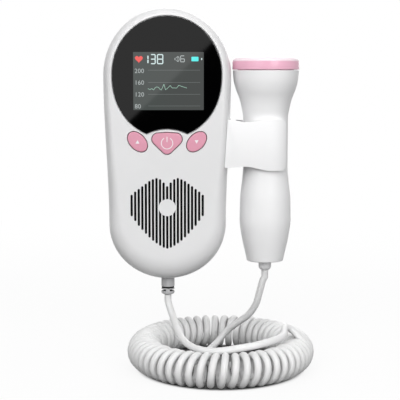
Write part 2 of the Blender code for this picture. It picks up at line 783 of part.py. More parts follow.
def build_battery_cover():
    """A flush cover: a hook at its top edge, a snap bead at its foot, a ribbed thumb grip."""
    cover = add_object(
        "battery_cover",
        prism(grown(bay_outline(0.0), -GAP), 0.0, COVER_THICKNESS),
        "case_white",
    )
    root = box(
        (-HOOK_HALF_WIDTH, COVER_THICKNESS / 2, BAY_TOP_Z - HOOK_ROOT),
        (HOOK_HALF_WIDTH, COVER_THICKNESS + HOOK_THICKNESS, BAY_TOP_Z - 2 * GAP),
    )
    boolean(cover, add_object("hook_root", root), "UNION")
    tongue = box(
        (-HOOK_HALF_WIDTH, COVER_THICKNESS, BAY_TOP_Z - HOOK_ROOT / 2),
        (HOOK_HALF_WIDTH, COVER_THICKNESS + HOOK_THICKNESS, BAY_TOP_Z + HOOK_REACH),
    )
    boolean(cover, add_object("hook_tongue", tongue), "UNION")
    foot = BAY_FOOT_Z + GAP
    bead = box(
        (-COVER_BEAD_HALF_WIDTH, COVER_THICKNESS / 4, foot - COVER_BEAD),
        (COVER_BEAD_HALF_WIDTH, COVER_THICKNESS / 2, foot + COVER_BEAD),
    )
    boolean(cover, add_object("snap_bead", bead), "UNION")
    for rib in range(GRIP_RIBS):
        z = BAY_FOOT_Z + GRIP_FOOT_MARGIN + GRIP_RIB_PITCH * rib
        groove = rounded_box(0.0, z, GRIP_HALF_WIDTH, GRIP_RIB_WIDTH / 2, GRIP_RIB_WIDTH / 2.01, 2)
        boolean(cover, add_object(f"cut_grip_{rib}", prism(groove, -OVERRUN, GRIP_RIB_DEPTH)))


def cell_profile():
    half = CELL_LENGTH / 2
    return [
        (0.0, -half),
        (CELL_RADIUS - CELL_EDGE, -half),
        (CELL_RADIUS, CELL_EDGE - half),
        (CELL_RADIUS, half - CELL_EDGE),
        (CELL_RADIUS - CELL_EDGE, half),
        (CELL_NUB_RADIUS, half),
        (CELL_NUB_RADIUS, half + CELL_NUB_HEIGHT),
        (0.0, half + CELL_NUB_HEIGHT),
    ]


def build_batteries():
    """Two cells head to tail, flat plates at their nubs and coned springs at their bases."""
    spring_height = BAY_LENGTH - CELL_LENGTH - CELL_NUB_HEIGHT - 2 * CONTACT_THICKNESS - 5 * GAP
    for number, side in ((1, -1), (2, 1)):
        x = side * CELL_PITCH / 2
        # Cell 1 has its nub up and its spring at the foot; cell 2 is the other way round
        up = -side
        nub_wall = BAY_TOP_Z if up > 0 else BAY_FOOT_Z
        spring_wall = BAY_FOOT_Z if up > 0 else BAY_TOP_Z
        nub_end = nub_wall - up * (2 * GAP + CONTACT_THICKNESS)
        centre = nub_end - up * (CELL_NUB_HEIGHT + CELL_LENGTH / 2)
        add_object(
            f"battery_{number}",
            turned_solid(
                [(r, centre + up * h) for r, h in cell_profile()],
                16,
                upright_axis(x, CELL_DEPTH),
            ),
            "cell_wrap",
            SMOOTH,
        )
        plate_face = spring_wall + up * (GAP + CONTACT_THICKNESS)
        points = []
        for s in range(SPRING_TURNS * SPRING_STEPS + 1):
            t = s / (SPRING_TURNS * SPRING_STEPS)
            a = math.tau * SPRING_TURNS * t
            r = SPRING_LARGE_RADIUS + (SPRING_SMALL_RADIUS - SPRING_LARGE_RADIUS) * t
            rise = GAP + SPRING_WIRE / 2 + (spring_height - SPRING_WIRE) * t
            points.append((x + r * math.cos(a), r * math.sin(a) - CELL_DEPTH, plate_face + up * rise))
        name = "bridge_spring" if up > 0 else "minus_spring"
        tube(name, points, SPRING_WIRE, 1, "steel")
    # One plate bridges both cells at the foot; two plates stand apart at the top
    low = CELL_DEPTH - CONTACT_HALF_WIDTH
    high = CELL_DEPTH + CONTACT_HALF_WIDTH
    axis = CELL_PITCH / 2
    plates = (
        ("bridge_contact", -axis - CONTACT_HALF_WIDTH, axis + CONTACT_HALF_WIDTH, BAY_FOOT_Z, 1),
        ("plus_contact", -axis - CONTACT_HALF_WIDTH, CONTACT_HALF_WIDTH - axis, BAY_TOP_Z, -1),
        ("minus_contact", axis - CONTACT_HALF_WIDTH, axis + CONTACT_HALF_WIDTH, BAY_TOP_Z, -1),
    )
    for name, left, right, wall, up in plates:
        near = wall + up * GAP
        far = near + up * CONTACT_THICKNESS
        add_object(name, box((left, low, min(near, far)), (right, high, max(near, far))), "steel")


def build_screws():
    seat = SCREW_RECESS_DEPTH - GAP
    for number, (x, z) in enumerate(SCREW_PLACES, start=1):
        profile = [
            (0.0, seat - SCREW_HEAD_HEIGHT),
            (SCREW_HEAD_RADIUS * 0.8, seat - SCREW_HEAD_HEIGHT),
            (SCREW_HEAD_RADIUS, seat - SCREW_HEAD_HEIGHT * 0.6),
            (SCREW_HEAD_RADIUS, seat),
            (SCREW_RADIUS, seat),
            (SCREW_RADIUS, seat + SCREW_LENGTH - SCREW_RADIUS),
            (0.0, seat + SCREW_LENGTH),
        ]
        add_object(f"case_screw_{number}", turned_solid(profile, 12, facing_axis(x, z)), "steel", SMOOTH)


# What the unit holds


def build_display():
    lens = add_object("display_lens", prism(lens_outline(), LENS_BACK, LENS_FRONT), "lens_black", SMOOTH)
    bevel(lens, LENS_EDGE)
    module = add_object(
        "lcd_module",
        prism(screen_window(MODULE_BORDER), FACE_INSIDE - GAP - MODULE_THICKNESS, FACE_INSIDE - GAP),
        "display_grey",
    )
    middle = FACE_INSIDE - GAP - MODULE_THICKNESS / 2
    plateau = prism(screen_window(SCREEN_MARGIN - GAP), middle, RECESS_FLOOR)
    boolean(module, add_object("module_glass", plateau), "UNION")


def build_board():
    board = add_object(
        "main_board",
        prism(case_outline(BOARD_INSET), BOARD_BACK_DEPTH, BOARD_FRONT_DEPTH),
        "board_green",
    )
    foot = FOOT_CENTRE_Z - FOOT_DROP
    below = box(
        (-TOP_HALF_WIDTH, BOARD_BACK_DEPTH - OVERRUN, foot),
        (TOP_HALF_WIDTH, BOARD_FRONT_DEPTH + OVERRUN, BOARD_FOOT_Z),
    )
    boolean(board, add_object("cut_board_foot", below))
    for number, (x, z) in enumerate(SCREW_PLACES[:2]):
        hole = circle(x, z, BOSS_RADIUS + GAP, BOSS_STEPS)
        cut = prism(hole, BOARD_BACK_DEPTH - OVERRUN, BOARD_FRONT_DEPTH + OVERRUN)
        boolean(board, add_object(f"cut_board_{number}", cut))


def build_keys():
    """Each key cap slides in its hole; its stem meets the plunger of the switch below."""
    switch_back = BOARD_FRONT_DEPTH + GAP
    switch_front = switch_back + SWITCH_HEIGHT
    plunger_front = switch_front + PLUNGER_PROUD
    flange_front = FACE_INSIDE - GAP
    flange_back = flange_front - KEY_FLANGE_THICKNESS
    bore_floor = switch_back + SWITCH_FLOOR
    for key, (x, z, outline) in KEYS.items():
        cap_back = (flange_front + flange_back) / 2
        cap = add_object(f"{key}_button", prism(outline, cap_back, CASE_DEPTH + KEY_PROUD), "pink", SMOOTH)
        bevel(cap, KEY_EDGE, 2)
        flange = prism(grown(outline, KEY_FLANGE), flange_back, flange_front)
        boolean(cap, add_object(f"{key}_flange", flange), "UNION")
        stem = prism(circle(x, z, KEY_STEM_RADIUS, 12), plunger_front + GAP, cap_back)
        boolean(cap, add_object(f"{key}_stem", stem), "UNION")
        half = SWITCH_SIZE / 2
        body = box((x - half, switch_back, z - half), (x + half, switch_front, z + half))
        switch = add_object(f"{key}_switch", body, "dark_plastic")
        bore = prism(circle(x, z, PLUNGER_RADIUS + GAP, 12), bore_floor, switch_front + OVERRUN)
        boolean(switch, add_object(f"cut_{key}_bore", bore))
        plunger = prism(circle(x, z, PLUNGER_RADIUS, 12), bore_floor + KEY_TRAVEL + GAP, plunger_front)
        add_object(f"{key}_plunger", plunger, "dark_plastic")


def build_speaker():
    """Black cloth against the face, and the speaker in its seat ring behind it."""
    place = facing_axis(0.0, SPEAKER_Z)
    cloth_front = FACE_INSIDE - GAP
    disc = circle(0.0, SPEAKER_Z, SPEAKER_RADIUS, SPEAKER_STEPS)
    cloth = prism(disc, cloth_front - CLOTH_THICKNESS, cloth_front)
    add_object("speaker_cloth", cloth, "cloth_black")
    front = cloth_front - CLOTH_THICKNESS - GAP
    back = front - SPEAKER_DEPTH
    profile = [
        (0.0, back),
        (MAGNET_RADIUS, back),
        (MAGNET_RADIUS, back + MAGNET_HEIGHT),
        (SPEAKER_RADIUS - 2 * SPEAKER_RIM, front - SPEAKER_RIM),
        (SPEAKER_RADIUS, front - SPEAKER_RIM),
        (SPEAKER_RADIUS, front),
        (SPEAKER_RADIUS - SPEAKER_RIM, front),
        (DUST_CAP_RADIUS, front - CONE_DEPTH),
        (DUST_CAP_RADIUS / 2, front - CONE_DEPTH / 2),
        (0.0, front - CONE_DEPTH / 3),
    ]
    add_object("speaker", turned_solid(profile, SPEAKER_STEPS, place), "dark_plastic", SMOOTH)


# The snap clip

PROBE_X = TOP_HALF_WIDTH + PROBE_HEAD_SPACE + PROBE_HEAD_RADIUS
CLIP_RIGHT_X = PROBE_X + CLIP_REACH_X


def clip_plan(inner, outer):
    """The clip seen from above as (x, depth) points: a web by the unit and two arms round the waist."""
    mouth = math.pi / 2 - CLIP_REACH
    left = CLIP_LEFT_X - CLIP_WALL
    web = TOP_HALF_WIDTH + CLIP_WEB
    middle = (inner + outer) / 2
    half = (outer - inner) / 2

    def around(radius, a):
        return PROBE_X + radius * math.cos(a), PROBE_DEPTH + radius * math.sin(a)

    front = [(left, PROBE_DEPTH + outer)]
    for s in range(CLIP_ARC_STEPS + 1):
        front.append(around(outer, math.pi / 2 - (math.pi / 2 - mouth) * s / CLIP_ARC_STEPS))
    tip_x, tip_depth = around(middle, mouth)
    for s in range(1, 4):
        a = mouth - math.pi * s / 4
        front.append((tip_x + half * math.cos(a), tip_depth + half * math.sin(a)))
    for s in range(CLIP_ARC_STEPS + 1):
        front.append(around(inner, mouth + (math.pi / 2 - mouth) * s / CLIP_ARC_STEPS))
    for s in range(4):
        a = math.pi / 2 + math.pi / 2 * s / 3
        corner_x = web + CLIP_FILLET
        corner_depth = PROBE_DEPTH + inner - CLIP_FILLET
        front.append((corner_x + CLIP_FILLET * math.cos(a), corner_depth + CLIP_FILLET * math.sin(a)))
    back = [(x, 2 * PROBE_DEPTH - depth) for x, depth in front[::-1]]
    return front + back


def clip_face():
    """The clip seen from the front: bow-shaped edges and rounded free corners."""
    span = CLIP_RIGHT_X - CLIP_CORNER - CLIP_LEFT_X
    top = []
    foot = []
    for s in range(CLIP_EDGE_STEPS + 1):
        t = s / CLIP_EDGE_STEPS
        x = CLIP_LEFT_X + span * t
        dip = CLIP_WAIST * math.sin(math.pi * min(t / 0.8, 1.0)) ** 2
        top.append((x, CLIP_TOP_Z - dip))
        foot.append((x, CLIP_FOOT_Z + dip / 2 - CLIP_FOOT_FLARE * ease((t - 0.35) / 0.5)))
    right = []
    for centre_z, first in ((foot[-1][1] + CLIP_CORNER, -math.pi / 2), (top[-1][1] - CLIP_CORNER, 0.0)):
        for s in range(1, 5):
            a = first + math.pi / 2 * s / 4
            x = CLIP_RIGHT_X - CLIP_CORNER + CLIP_CORNER * math.cos(a)
            right.append((x, centre_z + CLIP_CORNER * math.sin(a)))
    left = [(CLIP_LEFT_X - 2 * CLIP_WALL, foot[0][1])]
    left_top = [(CLIP_LEFT_X - 2 * CLIP_WALL, top[0][1])]
    return left + foot + right[:-1] + top[::-1] + left_top


def case_envelope(margin):
    """The whole casing as one solid, grown by a margin, for cutting what sits against it."""
    back = [[(x, y, z) for x, y, z in ring] for ring in back_rings(0.0)[:0:-1]]
    front = front_rings(0.0, 0.0)[1:]
    rings = []
    for ring in back + front:
        outline = grown([(x, z) for x, y, z in ring], margin)
        rings.append([(x, ring[0][1], z) for x, z in outline])
    rings[0] = [(x, margin, z) for x, y, z in rings[0]]
    rings[-1] = [(x, y - margin, z) for x, y, z in rings[-1]]
    return loft(rings)


def build_clip():
    waist = min(PROBE_RADIUS_SHARES[4:9]) * PROBE_HEAD_RADIUS
    inner = waist + GAP
    clip = add_object(
        "probe_clip",
        upright_prism(clip_plan(inner, inner + CLIP_WALL), 2 * CLIP_FOOT_Z, 2 * CLIP_TOP_Z),
        "case_white",
        SMOOTH,
    )
    boolean(clip, add_object("clip_face", prism(clip_face(), -OVERRUN, CASE_DEPTH + OVERRUN)), "INTERSECT")
    boolean(clip, add_object("cut_clip_case", case_envelope(GAP)))


# The hand probe


def probe_radius(z):
    """The handle's outer radius at a height: a smooth curve through the named stations."""
    share = (z - PROBE_FOOT_Z) / PROBE_LENGTH
    heights = PROBE_HEIGHT_SHARES
    radii = PROBE_RADIUS_SHARES
    last = len(heights) - 1
    i = 0
    while i < last - 1 and share > heights[i + 1]:
        i += 1

    def slope(k):
        if k in (0, last):
            near = 1 if k == 0 else last
            return (radii[near] - radii[near - 1]) / (heights[near] - heights[near - 1])
        one = (radii[k] - radii[k - 1]) / (heights[k] - heights[k - 1])
        two = (radii[k + 1] - radii[k]) / (heights[k + 1] - heights[k])
        return 2 * one * two / (one + two) if one * two > 0 else 0.0

    width = heights[i + 1] - heights[i]
    t = min(max((share - heights[i]) / width, 0.0), 1.0)
    value = (
        (1 + 2 * t) * (1 - t) ** 2 * radii[i]
        + t * (1 - t) ** 2 * width * slope(i)
        + t * t * (3 - 2 * t) * radii[i + 1]
        + t * t * (t - 1) * width * slope(i + 1)
    )
    return value * PROBE_HEAD_RADIUS


PROBE_TOP_Z = PROBE_FOOT_Z + PROBE_LENGTH
RING_FOOT_Z = PROBE_TOP_Z - RING_HEIGHT
HOUSING_TOP_Z = RING_FOOT_Z - GAP
PROBE_STATIONS = 14


def head_bore():
    """Radius of the housing's mouth, where the head ring's skirt plugs in."""
    return probe_radius(RING_FOOT_Z - RING_SKIRT) - PROBE_WALL


def build_probe_housing():
    neck = PROBE_RELIEF_NECK + GAP
    outer = [(probe_radius(PROBE_FOOT_Z) - PROBE_FOOT_EDGE, PROBE_FOOT_Z)]
    inner = []
    start = PROBE_FOOT_Z + PROBE_FOOT_EDGE
    for s in range(PROBE_STATIONS + 1):
        z = start + (HOUSING_TOP_Z - start) * s / PROBE_STATIONS
        outer.append((probe_radius(z), z))
    mouth_z = RING_FOOT_Z - RING_SKIRT - GAP
    inner.append((head_bore(), HOUSING_TOP_Z))
    inner.append((head_bore(), mouth_z))
    foot = PROBE_FOOT_Z + PROBE_WALL
    for s in range(1, PROBE_STATIONS, 2):
        z = mouth_z + (foot - mouth_z) * s / (PROBE_STATIONS - 1)
        inner.append((probe_radius(z) - PROBE_WALL, z))
    profile = [(neck, PROBE_FOOT_Z)] + outer + inner + [(neck, PROBE_FOOT_Z + PROBE_WALL)]
    place = upright_axis(PROBE_X, PROBE_DEPTH)
    add_object("probe_housing", turned(profile, PROBE_SEGMENTS, place), "probe_white", SMOOTH)


def build_probe_head():
    place = upright_axis(PROBE_X, PROBE_DEPTH)
    skirt_outer = head_bore() - GAP
    skirt_inner = skirt_outer - RING_SHELF
    lip = PROBE_HEAD_RADIUS - RING_LIP
    shelf_z = PROBE_TOP_Z - FACE_THICKNESS - GAP
    profile = [
        (skirt_outer, RING_FOOT_Z),
        (PROBE_HEAD_RADIUS - GAP, RING_FOOT_Z),
        (PROBE_HEAD_RADIUS, RING_FOOT_Z + GAP),
    ]
    for s in range(5):
        a = math.pi / 2 * s / 4
        r = PROBE_HEAD_RADIUS - RING_ROUND + RING_ROUND * math.cos(a)
        profile.append((r, PROBE_TOP_Z - RING_ROUND + RING_ROUND * math.sin(a)))
    profile += [
        (lip, PROBE_TOP_Z),
        (lip, shelf_z),
        (skirt_inner, shelf_z),
        (skirt_inner, RING_FOOT_Z - RING_SKIRT),
        (skirt_outer, RING_FOOT_Z - RING_SKIRT),
    ]
    add_object("probe_head_ring", turned(profile, PROBE_SEGMENTS, place), "ring_pink", SMOOTH)
    face_foot = shelf_z + GAP
    edge = lip - GAP
    face = [
        (0.0, face_foot),
        (edge, face_foot),
        (edge, PROBE_TOP_Z - FACE_DOME),
        (edge / 2, PROBE_TOP_Z - FACE_DOME / 4),
        (0.0, PROBE_TOP_Z),
    ]
    add_object("probe_face", turned_solid(face, PROBE_SEGMENTS, place), "face_cream", SMOOTH)
    crystal_top = face_foot - GAP
    crystal_foot = crystal_top - CRYSTAL_THICKNESS
    crystal = CRYSTAL_SHARE * PROBE_HEAD_RADIUS
    for name, side in (("transmit_crystal", -1), ("receive_crystal", 1)):
        outline = []
        for s in range(11):
            a = math.pi * s / 10 - math.pi / 2
            x = PROBE_X + side * (CRYSTAL_SPLIT / 2 + crystal * math.cos(a))
            outline.append((x, PROBE_DEPTH + crystal * math.sin(a)))
        add_object(name, upright_prism(outline, crystal_foot, crystal_top), "crystal")
    backing_top = crystal_foot - GAP
    backing_foot = backing_top - BACKING_THICKNESS
    radius = skirt_inner - GAP
    disc = circle(PROBE_X, PROBE_DEPTH, radius, 28)
    add_object("crystal_backing", upright_prism(disc, backing_foot, backing_top), "backing_brown")
    board_top = backing_foot - GAP
    half = PROBE_BOARD_THICKNESS / 2
    board = box(
        (PROBE_X - PROBE_BOARD_HALF_WIDTH, PROBE_DEPTH - half, board_top - PROBE_BOARD_LENGTH),
        (PROBE_X + PROBE_BOARD_HALF_WIDTH, PROBE_DEPTH + half, board_top),
    )
    add_object("probe_board", board, "board_green")


# Strain reliefs and the cord

UNIT_EXIT_Z = FOOT_CENTRE_Z - FOOT_DROP - RELIEF_LENGTH
PROBE_EXIT_Z = PROBE_FOOT_Z - GAP - PROBE_RELIEF_LENGTH


def build_unit_relief():
    """Flange inside the casing, plain collar, two flex grooves and a drawn-in end."""
    foot = FOOT_CENTRE_Z - FOOT_DROP
    inside = foot + CASE_WALL + 2 * GAP
    grooved = RELIEF_LENGTH - RELIEF_PLAIN_LENGTH
    pitch = grooved / (RELIEF_GROOVES + 1)
    profile = [
        (0.0, inside + RELIEF_FLANGE_HEIGHT),
        (RELIEF_RADIUS + RELIEF_FLANGE, inside + RELIEF_FLANGE_HEIGHT),
        (RELIEF_RADIUS + RELIEF_FLANGE, inside),
        (RELIEF_RADIUS, inside),
    ]
    for groove in range(RELIEF_GROOVES):
        top = foot - RELIEF_PLAIN_LENGTH - pitch * groove - RELIEF_GROOVE / 2
        profile += [
            (RELIEF_RADIUS, top),
            (RELIEF_CORE_RADIUS, top),
            (RELIEF_CORE_RADIUS, top - RELIEF_GROOVE),
            (RELIEF_RADIUS, top - RELIEF_GROOVE),
        ]
    end = (RELIEF_RADIUS - RELIEF_END_RADIUS) / 2
    profile += [
        (RELIEF_RADIUS, UNIT_EXIT_Z + 2 * end),
        (RELIEF_END_RADIUS + end, UNIT_EXIT_Z + end / 2),
        (RELIEF_END_RADIUS, UNIT_EXIT_Z),
        (0.0, UNIT_EXIT_Z),
    ]
    shape = turned_solid(profile, RELIEF_SEGMENTS, upright_axis(0.0, PARTING_DEPTH))
    relief = add_object("unit_strain_relief", shape, "relief_grey", SMOOTH)
    # Webs that leave each groove open in two places, turned a quarter from one groove to the next
    for groove in range(RELIEF_GROOVES):
        top = foot - RELIEF_PLAIN_LENGTH - pitch * groove
        long = RELIEF_RADIUS * 0.93
        short = RELIEF_CORE_RADIUS / 2
        half_x, half_depth = (short, long) if groove % 2 else (long, short)
        web = box(
            (-half_x, PARTING_DEPTH - half_depth, top - 2 * RELIEF_GROOVE),
            (half_x, PARTING_DEPTH + half_depth, top),
        )
        boolean(relief, add_object(f"relief_web_{groove}", web), "UNION")


def build_probe_relief():
    inside = PROBE_FOOT_Z + PROBE_WALL + GAP
    end = PROBE_RELIEF_RADIUS - RELIEF_END_RADIUS
    profile = [
        (0.0, inside + RELIEF_FLANGE_HEIGHT),
        (PROBE_RELIEF_NECK + RELIEF_FLANGE, inside + RELIEF_FLANGE_HEIGHT),
        (PROBE_RELIEF_NECK + RELIEF_FLANGE, inside),
        (PROBE_RELIEF_NECK, inside),
        (PROBE_RELIEF_NECK, PROBE_FOOT_Z - GAP),
        (PROBE_RELIEF_RADIUS, PROBE_FOOT_Z - GAP),
        (PROBE_RELIEF_RADIUS, PROBE_EXIT_Z + end),
        (RELIEF_END_RADIUS, PROBE_EXIT_Z),
        (0.0, PROBE_EXIT_Z),
    ]
    shape = turned_solid(profile, RELIEF_SEGMENTS, upright_axis(PROBE_X, PROBE_DEPTH))
    add_object("probe_strain_relief", shape, "relief_grey", SMOOTH)


def coil_frame(turn, phase):
    """Point and direction of the coil's centreline at an angle round the oval and a phase of its curl."""
    cos, sin = math.cos(turn), math.sin(turn)
    outward = Vector((cos / RING_HALF_WIDTH, sin / RING_HALF_DEPTH, 0.0)).normalized()
    near = (1 - sin) / 2
    # On the oval's inner side, where curls crowd, every second one stands a little further in
    stagger = CURL_STAGGER * near * math.sin(phase / 2) * (1 - math.cos(phase)) / 2
    centre_z = RING_FLOOR_Z + CURL_RADIUS + CORD_DIAMETER / 2
    axis = Vector((RING_X + RING_HALF_WIDTH * cos, RING_Y + RING_HALF_DEPTH * sin, centre_z))
    up = Vector((0.0, 0.0, 1.0))
    point = axis + outward * (CURL_RADIUS * math.cos(phase) - stagger) - up * (CURL_RADIUS * math.sin(phase))
    pitch = CURL_PITCH_BACK + (CURL_PITCH_FRONT - CURL_PITCH_BACK) * near
    along = Vector((outward.y, -outward.x, 0.0)) * (pitch / math.tau)
    way = along - outward * (CURL_RADIUS * math.sin(phase)) - up * (CURL_RADIUS * math.cos(phase))
    speed = math.hypot(RING_HALF_WIDTH * sin, RING_HALF_DEPTH * cos)
    return point, way.normalized(), pitch / speed


def coil_points():
    """The curly cord's centreline, clockwise round the oval seen from above, with straight ends."""
    steps = round((CURL_TURNS + (CURL_END_PHASE - CURL_START_PHASE) / math.tau) * CURL_POINTS)
    points = []
    turn = RING_START
    for i in range(steps + 1):
        phase = CURL_START_PHASE + math.tau * i / CURL_POINTS
        point, way, advance = coil_frame(turn, phase)
        if i == 0:
            points.append(point - way * CORD_DIAMETER)
        points.append(point)
        turn -= advance / CURL_POINTS
    points.append(point + way * CORD_DIAMETER)
    return points


def least_gap(points):
    """The smallest surface gap between stretches of the coil that are not next to each other."""
    dense = []
    for a, b in zip(points, points[1:]):
        dense += [a, a.lerp(b, 0.5)]
    least = math.inf
    skip = CURL_POINTS
    for i, here in enumerate(dense):
        for there in dense[i + skip : i + 6 * skip]:
            least = min(least, (here - there).length)
        for there in dense[i + 6 * skip :: 2]:
            least = min(least, (here - there).length)
    return least - CORD_DIAMETER


def smooth_route(route, step):
    """Points at an even step along a smooth curve through the route's own points."""
    knots = [Vector(point) for point in route]
    knots = [knots[0] * 2 - knots[1]] + knots + [knots[-1] * 2 - knots[-2]]
    dense = []
    for p0, p1, p2, p3 in zip(knots, knots[1:], knots[2:], knots[3:]):
        for s in range(12):
            t = s / 12
            a = 2 * p1 + (p2 - p0) * t
            b = (2 * p0 - 5 * p1 + 4 * p2 - p3) * t * t
            c = (3 * p1 - p0 - 3 * p2 + p3) * t * t * t
            dense.append((a + b + c) / 2)
    dense.append(knots[-2])
    lengths = [0.0]
    for a, b in zip(dense, dense[1:]):
        lengths.append(lengths[-1] + (b - a).length)
    count = max(round(lengths[-1] / step), 2)
    points = []
    j = 0
    for i in range(count + 1):
        want = lengths[-1] * i / count
        while j < len(dense) - 2 and lengths[j + 1] < want:
            j += 1
        share = (want - lengths[j]) / (lengths[j + 1] - lengths[j])
        points.append(dense[j].lerp(dense[j + 1], min(share, 1.0)))
    return points


def straight_end(place, direction):
    """Two points that leave a place squarely and run straight for one diameter."""
    way = Vector(direction).normalized()
    start = Vector(place) + way * GAP
    return [start, start + way * CORD_DIAMETER]


def length_of(points):
    return sum((b - a).length for a, b in zip(points, points[1:]))


def build_cords():
    coil = coil_points()
    tube("curly_cord", coil, CORD_DIAMETER, 1, "cord_white")
    print(f"curly cord: least gap to itself {least_gap(coil) * 1000:.2f} mm, length {length_of(coil):.3f} m")
    step = CORD_DIAMETER * LEAD_STEP_DIAMETERS
    start = straight_end((0.0, -PARTING_DEPTH, UNIT_EXIT_Z), (0.0, 0.0, -1.0))
    end = straight_end(coil[0], coil[0] - coil[1])[::-1]
    middle = smooth_route([start[1], *UNIT_LEAD_ROUTE, end[0]], step)
    unit_lead = [start[0]] + middle + [end[1]]
    tube("unit_lead", unit_lead, CORD_DIAMETER, 2, "cord_white")
    start = straight_end(coil[-1], coil[-1] - coil[-2])
    end = straight_end((PROBE_X, -PROBE_DEPTH, PROBE_EXIT_Z), (0.0, 0.0, -1.0))[::-1]
    middle = smooth_route([start[1], *PROBE_LEAD_ROUTE, end[0]], step)
    probe_lead = [start[0]] + middle + [end[1]]
    tube("probe_lead", probe_lead, CORD_DIAMETER, 2, "cord_white")
    print(f"unit lead {length_of(unit_lead):.3f} m, probe lead {length_of(probe_lead):.3f} m")


def main():
    clear_scene()
    build_front_shell()
    build_rear_shell()
    build_battery_cover()
    build_batteries()
    build_screws()
    build_display()
    build_board()
    build_keys()
    build_speaker()
    build_clip()
    build_probe_housing()
    build_probe_head()
    build_unit_relief()
    build_probe_relief()
    build_cords()


main()
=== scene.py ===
# %% [markdown]
# # A pocket fetal doppler
# This lesson dresses a finished solid model of a small home health device: a display unit with
# three keys and a heart-shaped speaker grille, a hand probe in a snap clip, and a curly cord.
# The solids give every size and every joint. The pieces made here take their places and add
# smooth surfaces, soft edges, printed symbols and the finishes of moulded plastic.

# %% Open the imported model
import math

import bmesh
import bpy
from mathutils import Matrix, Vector


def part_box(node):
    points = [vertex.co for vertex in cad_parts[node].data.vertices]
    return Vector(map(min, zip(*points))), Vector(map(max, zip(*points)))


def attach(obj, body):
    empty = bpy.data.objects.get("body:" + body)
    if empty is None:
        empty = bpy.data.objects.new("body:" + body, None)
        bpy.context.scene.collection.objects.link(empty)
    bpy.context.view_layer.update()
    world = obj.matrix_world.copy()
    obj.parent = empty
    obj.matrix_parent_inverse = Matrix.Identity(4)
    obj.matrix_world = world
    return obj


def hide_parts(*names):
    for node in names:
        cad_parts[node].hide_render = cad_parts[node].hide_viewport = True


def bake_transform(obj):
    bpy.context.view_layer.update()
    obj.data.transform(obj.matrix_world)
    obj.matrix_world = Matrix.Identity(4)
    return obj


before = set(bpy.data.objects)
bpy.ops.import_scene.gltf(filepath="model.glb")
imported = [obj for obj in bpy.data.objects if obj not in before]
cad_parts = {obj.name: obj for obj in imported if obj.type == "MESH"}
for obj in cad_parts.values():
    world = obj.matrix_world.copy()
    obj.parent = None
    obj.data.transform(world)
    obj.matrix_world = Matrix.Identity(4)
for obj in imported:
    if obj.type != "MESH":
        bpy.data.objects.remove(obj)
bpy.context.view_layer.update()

# %% [markdown]
# The camera stands 0.63 m in front of the unit, a little to the right of it, and looks six
# degrees down. A long lens from further away would flatten the oval of the cord on the floor;
# a wide one from nearer would splay the probe away from the unit.

# %% Place the camera
camera = bpy.data.objects.new("camera", bpy.data.cameras.new("camera"))
bpy.context.scene.collection.objects.link(camera)
camera.data.sensor_width = 36.0
camera.data.lens = 112.5
camera.location = (0.0120, -0.6622, 0.0348)
camera.rotation_euler = (math.radians(90.0 - 5.68), 0.0, math.radians(-0.42))
bpy.context.scene.camera = camera
bpy.context.scene.view_settings.view_transform = "Standard"

# %% [markdown]
# The cord is one helix whose axis is an oval that lies on the floor. On the real cord each curl
# is set by heat around a rod, so all curls have one radius and only their spacing varies. A round
# section swept along a centreline follows that way of making. Twenty-four points to a curl keep
# it round. The angle along the oval is stepped eight times a curl, as the solid does.

# %% Follow the curly cord's centreline
CORD_DIAMETER = 0.0036
CURL_RADIUS = 0.0069
CURL_TURNS = 56
CURL_PITCH_FRONT = 0.00473
CURL_PITCH_BACK = 0.00508
CURL_STAGGER = 0.00105
CURL_START_PHASE = math.radians(315)
CURL_END_PHASE = math.radians(90)
OVAL_X, OVAL_Y, FLOOR_Z = 0.0273, -0.0240, -0.1152
OVAL_HALF_WIDTH, OVAL_HALF_DEPTH = 0.0395, 0.0480
OVAL_START = math.radians(-13)


def curl_place(turn, phase):
    """Point on the centreline, its direction, and how fast the angle along the oval advances."""
    cos, sin = math.cos(turn), math.sin(turn)
    outward = Vector((cos / OVAL_HALF_WIDTH, sin / OVAL_HALF_DEPTH, 0.0)).normalized()
    near = (1 - sin) / 2
    stagger = CURL_STAGGER * near * math.sin(phase / 2) * (1 - math.cos(phase)) / 2
    height = FLOOR_Z + CURL_RADIUS + CORD_DIAMETER / 2
    axis = Vector((OVAL_X + OVAL_HALF_WIDTH * cos, OVAL_Y + OVAL_HALF_DEPTH * sin, height))
    up = Vector((0.0, 0.0, 1.0))
    point = axis + outward * (CURL_RADIUS * math.cos(phase) - stagger) - up * (CURL_RADIUS * math.sin(phase))
    pitch = CURL_PITCH_BACK + (CURL_PITCH_FRONT - CURL_PITCH_BACK) * near
    along = Vector((outward.y, -outward.x, 0.0)) * (pitch / math.tau)
    way = along - outward * (CURL_RADIUS * math.sin(phase)) - up * (CURL_RADIUS * math.cos(phase))
    return point, way.normalized(), pitch / math.hypot(OVAL_HALF_WIDTH * sin, OVAL_HALF_DEPTH * cos)


def curly_centreline(fine):
    """The coil's points, with each of its eight steps a curl split into a number of finer ones."""
    steps = round((CURL_TURNS + (CURL_END_PHASE - CURL_START_PHASE) / math.tau) * 8)
    turns = [OVAL_START]
    for i in range(steps):
        turns.append(turns[-1] - curl_place(turns[-1], CURL_START_PHASE + math.tau * i / 8)[2] / 8)
    points = []
    for i in range(steps * fine + 1):
        k, share = divmod(i, fine)
        turn = turns[k] + (turns[min(k + 1, steps)] - turns[k]) * share / fine
        point, way, _ = curl_place(turn, CURL_START_PHASE + math.tau * i / (8 * fine))
        if i == 0:
            points.append(point - way * CORD_DIAMETER)
        points.append(point)
    points.append(point + way * CORD_DIAMETER)
    return points


coil = curly_centreline(3)
print("curly cord:", len(coil), "points")

